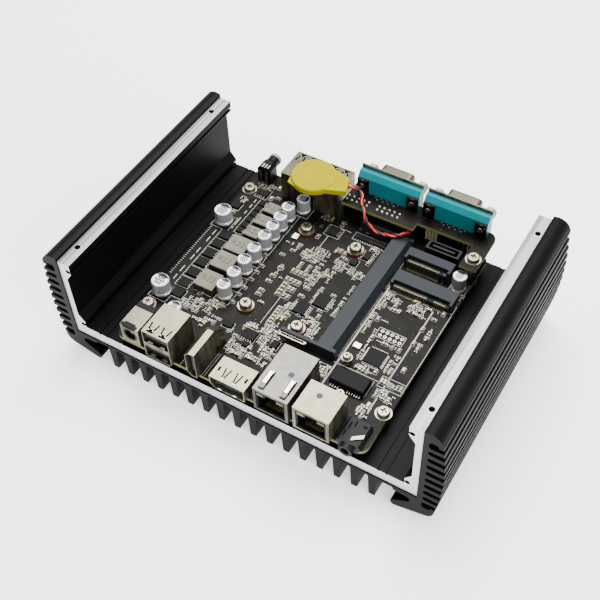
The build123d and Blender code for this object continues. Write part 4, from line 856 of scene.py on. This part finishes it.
def pressed_powder():
    """Dark rough sides and a smooth warm grey top."""
    material, place = finish("pressed_powder", Specular_IOR_Level=0.25, Roughness=0.75)
    up = axis_of(facing(place), 2) > 0.7
    grain = mottle(place, 0.45, detail=4.0)
    side = tint(ease(grain, 0.35, 0.65), paint(12, 9, 6), paint(46, 37, 27))
    top = tint(mottle(place, 3.0), paint(96, 94, 82), paint(112, 110, 98))
    return feed(material, Base_Color=tint(up, side, top), Normal=relief(grain * (1 - 0.8 * up), 0.08))


dress(pressed_powder(), "inductors")


letters_half = 0.012


def stamp(shape, words, centre, tall):
    """Prints plain letters, tall millimetres high, that read from the front."""
    letters = bpy.data.curves.new("letters", "FONT")
    letters.body = words
    letters.size = tall / 0.7
    letters.extrude = letters_half
    letters.resolution_u = 3
    letters.align_x = letters.align_y = "CENTER"
    mesh = mesh_of(letters)
    mesh.transform(Matrix.Translation(centre + Vector((0, 0, letters_half * mm))) @ Matrix.Scale(mm, 4))
    shape.from_mesh(mesh)


coil_print = bmesh.new()
for low, high, middle in solids_of("inductors"):
    value, tall = ("R22", 3.0) if high.x - low.x > 7 else ("1R0", 2.0)
    stamp(coil_print, value, at(middle.x, middle.y, high.z), tall)
coil_ink = plain_moulding("coil_ink", (68, 66, 58), gloss=0.7, shine=0.1)
settle("coil_values", coil_print, "pressed_ferrite", coil_ink)

# Power transistors and the other flat packages: black epoxy with tinned legs or pads, soldered
# to the board. The network transformer is the thickest, and the crystals have plated lids.
epoxy = plain_moulding("epoxy_package", (11, 11, 11), gloss=0.55, shine=0.08)
dress(epoxy, "mosfets", "chips", "lan_transformer")
dress(solder_tin, "transformer_legs")
dress(plated("crystal_lid", (206, 198, 164), (228, 222, 194)), "crystals")


def add_legs(solid, sides, pitch, reach):
    """Adds bent tinned legs to a package, along the sides that the directions point to."""
    low, high, middle = solid
    for side in sides:
        outward = Vector((*side, 0))
        along = Vector((abs(outward.y), abs(outward.x), 0))
        extent, run = (abs((high - low).dot(way)) / 2 for way in (outward, along))
        count = max(2, int(2 * run / pitch - 0.3))
        width = pitch * 0.42
        for number in range(count):
            root = middle + outward * extent + along * (number - (count - 1) / 2) * pitch
            for length, away, rise in ((0.6, 0.7, 0.14), (0.5, 0.22, 0.6)):
                place = root + outward * reach * away
                size = (reach * length, width) if outward.x else (width, reach * length)
                add_block(package_legs, at(place.x, place.y), (*size, rise))


sides_across, sides_along = ((-1, 0), (1, 0)), ((0, -1), (0, 1))
package_legs, package_print = bmesh.new(), bmesh.new()
for solid in solids_of("chips"):
    low, high, middle = solid
    size = high - low
    if size.x > 7.5:
        add_legs(solid, sides_across + sides_along, 0.5, 1.0)
    elif size.x <= size.y and size.y > 4.9:
        add_legs(solid, sides_across, 1.1, 1.1)
        frame_round(package_print, middle.x, middle.y, size.x + 3.2, size.y + 0.8)
    elif size.x > 5.3:
        add_legs(solid, sides_along, 1.1, 1.0)
        frame_round(package_print, middle.x, middle.y, size.x + 0.8, size.y + 3.0)
    else:
        frame_round(package_print, middle.x, middle.y, size.x + 0.9, size.y + 0.9, 0.2)
for solid in solids_of("mosfets"):
    add_legs(solid, sides_across, 1.27 if solid[1].x - solid[0].x > 4 else 0.65, 0.7)
settle("package_legs", package_legs, "plated_steel", solder_tin)

# Small parts: ceramic capacitors with tan bodies, black resistors and grey beads, all with
# tinned ends on tinned pads, and many of them in a printed frame. Four status lights.
pad_tin = plated("pad_tin", (56, 53, 44), (100, 96, 82), rough=0.3)
tan_ceramic = plain_moulding("tan_ceramic", (112, 94, 50), shine=0.2)
black_film = plain_moulding("resistor_film", (9, 9, 9), gloss=0.3, shine=0.1)
grey_bead = plain_moulding("grey_bead", (58, 56, 49), gloss=0.55, shine=0.2)
amber_lens = plain_moulding("amber_lens", (226, 128, 52), gloss=0.25)
part_kinds = {"tan": (2, 1.6, 1.0, 0.85), "film": (3, 1.0, 0.6, 0.35), "bead": (4, 1.2, 0.8, 0.6),
              "lens": (5, 1.6, 1.1, 0.7), "large": (2, 2.0, 1.4, 1.1), "block": (3, 2.0, 1.3, 0.6)}
small_parts = bmesh.new()
draw = random.Random(11)


def fit_part(kind, x, y, upright=True, framed=True):
    """Solders one small part to the board, its ends to the front and rear if it is upright."""
    number, length, width, height = part_kinds[kind]
    turn = 90 if upright else 0
    add_block(small_parts, at(x, y), (length * 0.62, width, height), number, turn)
    for end in (-1, 1):
        reach = end * length * 0.4
        place = at(x, y + reach) if upright else at(x + reach, y)
        add_block(small_parts, place, (length * 0.24, width * 1.04, height * 1.04), 0, turn)
        pad = at(x, y + reach * 1.45) if upright else at(x + reach * 1.45, y)
        add_block(small_parts, pad, (length * 0.34, width * 1.1, 0.1), 1, turn)
    if framed:
        around = (width + 0.6, length + 1.3) if upright else (length + 1.3, width + 0.6)
        frame_round(package_print, x, y, *around)


tan_columns = {
    -26.3: (39.5, 44.6, 49.0, 54.5, 59.3, 63.5), -18.7: (49, 51.5, 57.5, 61),
    -11.3: (53, 55.2, 57.4, 59.5), -8.5: (53.5, 58), -6.5: (53.5, 58),
    -6.0: (37.8, 39.6, 41.5, 43.5, 45.2, 46.8), -3.7: (48, 50), -1.7: (45, 57, 62),
    -12.3: (62.5, 68), -10.2: (62.5, 68), -8.2: (62.5, 68), -6.2: (62.5, 68), -11.2: (70.5, 73),
    -7.0: (70.5, 73), -12.5: (31,), 1.0: (30,), -3.0: (32,), -13.2: (91.5,), -53.0: (107.5,),
    -55.8: (86,), -28.2: (70,), 4.0: (59,), 10.6: (50.5,), 2.8: (88,), 14.7: (88,), 14.0: (97,),
    35.8: (52,), 33.2: (62,), 30.4: (61,), 30.6: (76,), 36.5: (72,), 52.2: (66,), 52.3: (57.5,),
    56.5: (27, 78), 52.6: (29.3,), 45.5: (37,),
}
for x, column in tan_columns.items():
    for y in column:
        fit_part("tan", x, y, upright=len(column) < 3)
for x, y in ((-44.9, 102.2), (-44.9, 110.0), (50.6, 21.2), (55.0, 43.3)):
    fit_part("lens", x, y)
for x, y in ((9.5, 53.8), (2.8, 47.3), (10.5, 64.0), (-34.4, 33.2), (-42.0, 103.8), (54.2, 73.2)):
    fit_part("bead", x, y, upright=False)
crowded = [
    (-47, -36, 27, 34), (-34.5, -29, 32.4, 34), (-31.5, -25, 27.8, 29.6), (-32, -26, 25, 26.8),
    (-36, -29, 23, 24.6), (-34, -30, 21, 22.6), (-15.4, -6, 15.8, 21), (-15.6, -12.6, 21, 27),
    (-53, -47, 35.8, 37), (-24, -20, 80.8, 82.4), (-19.4, -17, 77.6, 84), (-14.5, -12, 78, 82),
    (-12, -2, 76, 86), (-18.6, -17.4, 62, 70), (-15.6, -14.2, 60.4, 62.2),
    (-22.6, -20.9, 73.4, 74.8), (-4.4, -3, 62, 75.6), (-2.6, 0.6, 64, 74),
    (-15.6, -14.4, 95, 102.4), (-17.6, -11.8, 102.6, 105.2), (-7.8, -2.6, 102.8, 107),
    (-0.6, 5, 30, 36.5), (-58.2, -54, 92.8, 97.6), (-35, -31.5, 27, 31.5), (-35, -27, 34.6, 37),
    (-14.5, -8.6, 28.6, 34.1), (-6.8, -0.8, 25.5, 36.8), (-19.5, -16.8, 25, 27.2),
    (-8.6, -5, 20.9, 25), (-2.3, 4, 21.4, 27.7), (-5, 0.2, 16.4, 19.5), (-5, -1.2, 36.5, 52),
    (-0.5, 5, 23.2, 29.5), (53.5, 58.5, 25, 30), (-16.5, -14, 36, 46), (-56, -47, 106, 110),
    (-2.2, 1.4, 86, 89.6), (0.2, 8, 104.6, 108), (1, 5, 81.6, 86), (2, 12, 78, 82),
    (0, 5, 71.6, 76), (15, 16.4, 52, 73), (3.6, 4.6, 62.6, 71), (12.2, 13.4, 56.6, 59.6),
    (9, 15, 38.4, 48), (12, 16, 94, 98), (30.4, 33, 69, 79), (34, 38, 73, 76), (34, 40.4, 69, 70.2),
    (30.2, 31.4, 60.4, 69), (34.8, 38, 61.4, 63), (42, 51, 71, 79), (53.2, 55, 76.6, 78.4),
    (55.3, 56.3, 61, 68), (49.4, 50.6, 64, 66.8), (54, 56, 53.4, 59), (35, 36.6, 38.6, 50),
    (34.4, 36, 54, 58.6), (30.4, 31.6, 51.6, 59), (47.6, 51.4, 38, 45), (48, 51.2, 46, 48.4),
    (38, 49.6, 50.4, 52.4), (37, 44.4, 34.4, 37.4), (49.6, 55, 25.8, 30.4), (47.6, 53, 14.6, 20),
    (-28, -24.4, 98.6, 100), (5.6, 9.4, 43, 48.6), (0.4, 4.6, 16, 22), (49.6, 59, 33, 35.4),
    (-44, -35.6, 36.4, 37.6), (12.6, 17, 75.6, 81), (57.6, 59.4, 84, 96), (-50, -46, 30.6, 33.6),
    (22.6, 28.6, 24, 30),
]
large_parts = ("chips", "crystals", "fibre_washers", "card_spacer", "mosfets")
taken = [solid for node in large_parts for solid in solids_of(node)]
keep_off = 0.9


def is_free(x, y):
    """True where no larger part covers a place on the board."""
    return not any(
        low.x - keep_off < x < high.x + keep_off and low.y - keep_off < y < high.y + keep_off
        for low, high, middle in taken
    )


for left, right, front, rear in crowded:
    columns = max(1, round((right - left) / 1.55))
    rows = max(1, round((rear - front) / 1.45))
    for column in range(columns):
        for row in range(rows):
            x = left + (column + 0.5) * (right - left) / columns
            y = front + (row + 0.5) * (rear - front) / rows
            if is_free(x, y) and draw.random() < 0.86:
                kind = draw.choices(("film", "bead", "tan"), (6, 3, 2))[0]
                fit_part(kind, x, y, upright=draw.random() < 0.5, framed=draw.random() < 0.35)
flat_strip = bmesh.new()
add_block(flat_strip, at(9.2, 100.3), (15.4, 2.8, 1.0))
for number in range(12):
    add_block(flat_strip, at(2.6 + 1.2 * number, 98.6), (0.5, 0.9, 0.2), 1)
frame_round(package_print, 9.2, 100.2, 16.6, 4.6, 0.18)
settle("flat_strip", flat_strip, "package_black", black_resin, solder_tin, soften=0.1)
settle("package_print", package_print, "board_laminate", white_print)
part_finishes = [solder_tin, pad_tin, tan_ceramic, black_film, grey_bead, amber_lens]
settle("small_parts", small_parts, "package_black", *part_finishes)

# Second board with the serial ports: the same laminate. The ports are teal mouldings behind
# stamped flanges, riveted to small dark brackets.
dress(laminate, "serial_board")
dress(plain_moulding("teal_resin", (0, 98, 104), gloss=0.3, shine=0.15), "serial_housings")
dress(shield_tin, "serial_shells")
dress(gold_plating, "serial_pins")
second_solder = bmesh.new()
for middle in (-3.0, 12.5):
    for column in range(-2, 3):
        for row in (-1.27, 1.27):
            place = at(middle + 2.54 * column, 110.5 + row, second_top)
            add_turned(second_solder, place, ((0.62, 0), (0.5, 0.3), (0.2, 0.5), (0, 0.5), (0, 0)), sides=12)
for low, high, middle in solids_of("serial_housings"):
    for number in range(9):
        place = at(middle.x + 1.38 * (number - 4), 115.9 - 1.1 * (number % 2), second_top)
        add_ring(second_solder, place, 0, 0.35, 0.4, sides=8)
settle("second_board_solder", second_solder, "plated_brass", tin_and_painted_highlight)
bracket_screws = bmesh.new()
head = ((1.5, 0), (1.4, 0.4), (0.5, 0.5), (0.4, 0.2), (0, 0.2), (0, 0))
for low, high, middle in solids_of("serial_brackets"):
    add_turned(bracket_screws, at(middle.x, low.y, second_top + 5.4), head, sides=24, ahead=True)
settle("bracket_screws", bracket_screws, "plated_steel", screw_plating)
strip_tabs_and_shade = bmesh.new()
add_block(strip_tabs_and_shade, at(33.6, 111.8, 0), (6.6, 2.6, 3.0), 1)
for number in range(4):
    add_block(strip_tabs_and_shade, at(31.4 + 1.5 * number, 111.8, 2.9), (1.05, 0.6, 6.6))
# A black sheet across the gap under the second board, behind the header: painted shade.
add_block(strip_tabs_and_shade, at(36.0, 114.9, 0), (33.0, 1.4, 9.95), 1)
ivory_resin = plain_moulding("ivory_resin", (120, 112, 88))
settle("strip_tabs_and_shade", strip_tabs_and_shade, "white_plastic", ivory_resin, black_resin)
dress(brass_plating, "jack_posts")
dress(plated("dark_bracket", (22, 20, 17), (44, 40, 33), rough=0.3), "serial_brackets")

# Coin cell: a flat steel cell wrapped in a shrunk yellow sleeve, with a flat tail to the right
# that the lead comes out of. It lies on the rear USB ports.
sleeve = plain_moulding("yellow_sleeve", (140, 129, 0), shine=0.0)
dress(sleeve, "coin_cell")
low, high, middle = measured(*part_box("coin_cell"))
radius = (high.y - low.y) / 2
centre = at(low.x + radius, low.y + radius, low.z + 1.7)
cut_end = ((-11.4, 3.9), (-9.6, -5.0), (-9.0, -8.7), (-3.0, -10.2), (-3.0, 8.0), (-7.6, 7.6))
sleeve_seams = bmesh.new()
add_plate(sleeve_seams, [centre + Vector((x, y, 0)) * mm for x, y in cut_end], Vector((0, 0, 0.5 * mm)))
tail_near, tail_far, tail_top = low.x + radius + 10.6, low.x + radius + 17.2, high.z - 0.75
for y1, y2 in ((-2.2, -1.0), (0.3, 0.6), (2.4, 2.2), (4.6, 3.9)):
    rule(sleeve_seams, tail_near, middle.y + y1, tail_far, middle.y + y2, 0.5, tail_top, 0.22)
settle("sleeve_seams", sleeve_seams, "yellow_sleeve", sleeve, soften=0.15)

# Studio: a pale floor, a surround that is white overhead and darker towards the horizon, and
# two large soft lamps.
floor_shape = bmesh.new()
bmesh.ops.create_grid(floor_shape, x_segments=1, y_segments=1, size=3.0)
floor_mesh = bpy.data.meshes.new("floor")
floor_shape.to_mesh(floor_mesh)
floor_shape.free()
floor = placed("floor", floor_mesh)
floor.location.z = case_low.z - 0.5 * mm
white = (1.0, 1.0, 1.0, 1.0)
floor_paint, floor_place = finish("floor_paint", Roughness=0.9, Emission_Color=white, Emission_Strength=0.9)
feed(floor_paint, Base_Color=tint(mottle(floor_place, 400.0), shade(white, 0.9), shade(white, 0.86)))
floor_mesh.materials.append(floor_paint)
world = bpy.data.worlds.new("studio")
bpy.context.scene.world = world
world.use_nodes = True
sky = Wire(world.node_tree.nodes.new("ShaderNodeTexCoord").outputs["Generated"])
height = ease(axis_of(sky, 2), 0.15, 0.85)
world.node_tree.links.new(tint(height, (0.16, 0.155, 0.15, 1), white).socket,
                          world.node_tree.nodes["Background"].inputs["Color"])
world.node_tree.nodes["Background"].inputs["Strength"].default_value = 1.7


def lamp(name, place, size, power):
    """A square soft lamp that points at the computer."""
    light = bpy.data.lights.new(name, "AREA")
    light.size = size
    light.energy = power
    holder = placed(name, light)
    holder.location = place
    holder.rotation_mode = "QUATERNION"
    holder.rotation_quaternion = (look_at - Vector(place)).to_track_quat("-Z", "Y")


lamp("lamp_over", (-0.15, 0.35, 0.95), 0.7, 26)
lamp("lamp_right", (0.9, -0.35, 0.6), 0.6, 13)
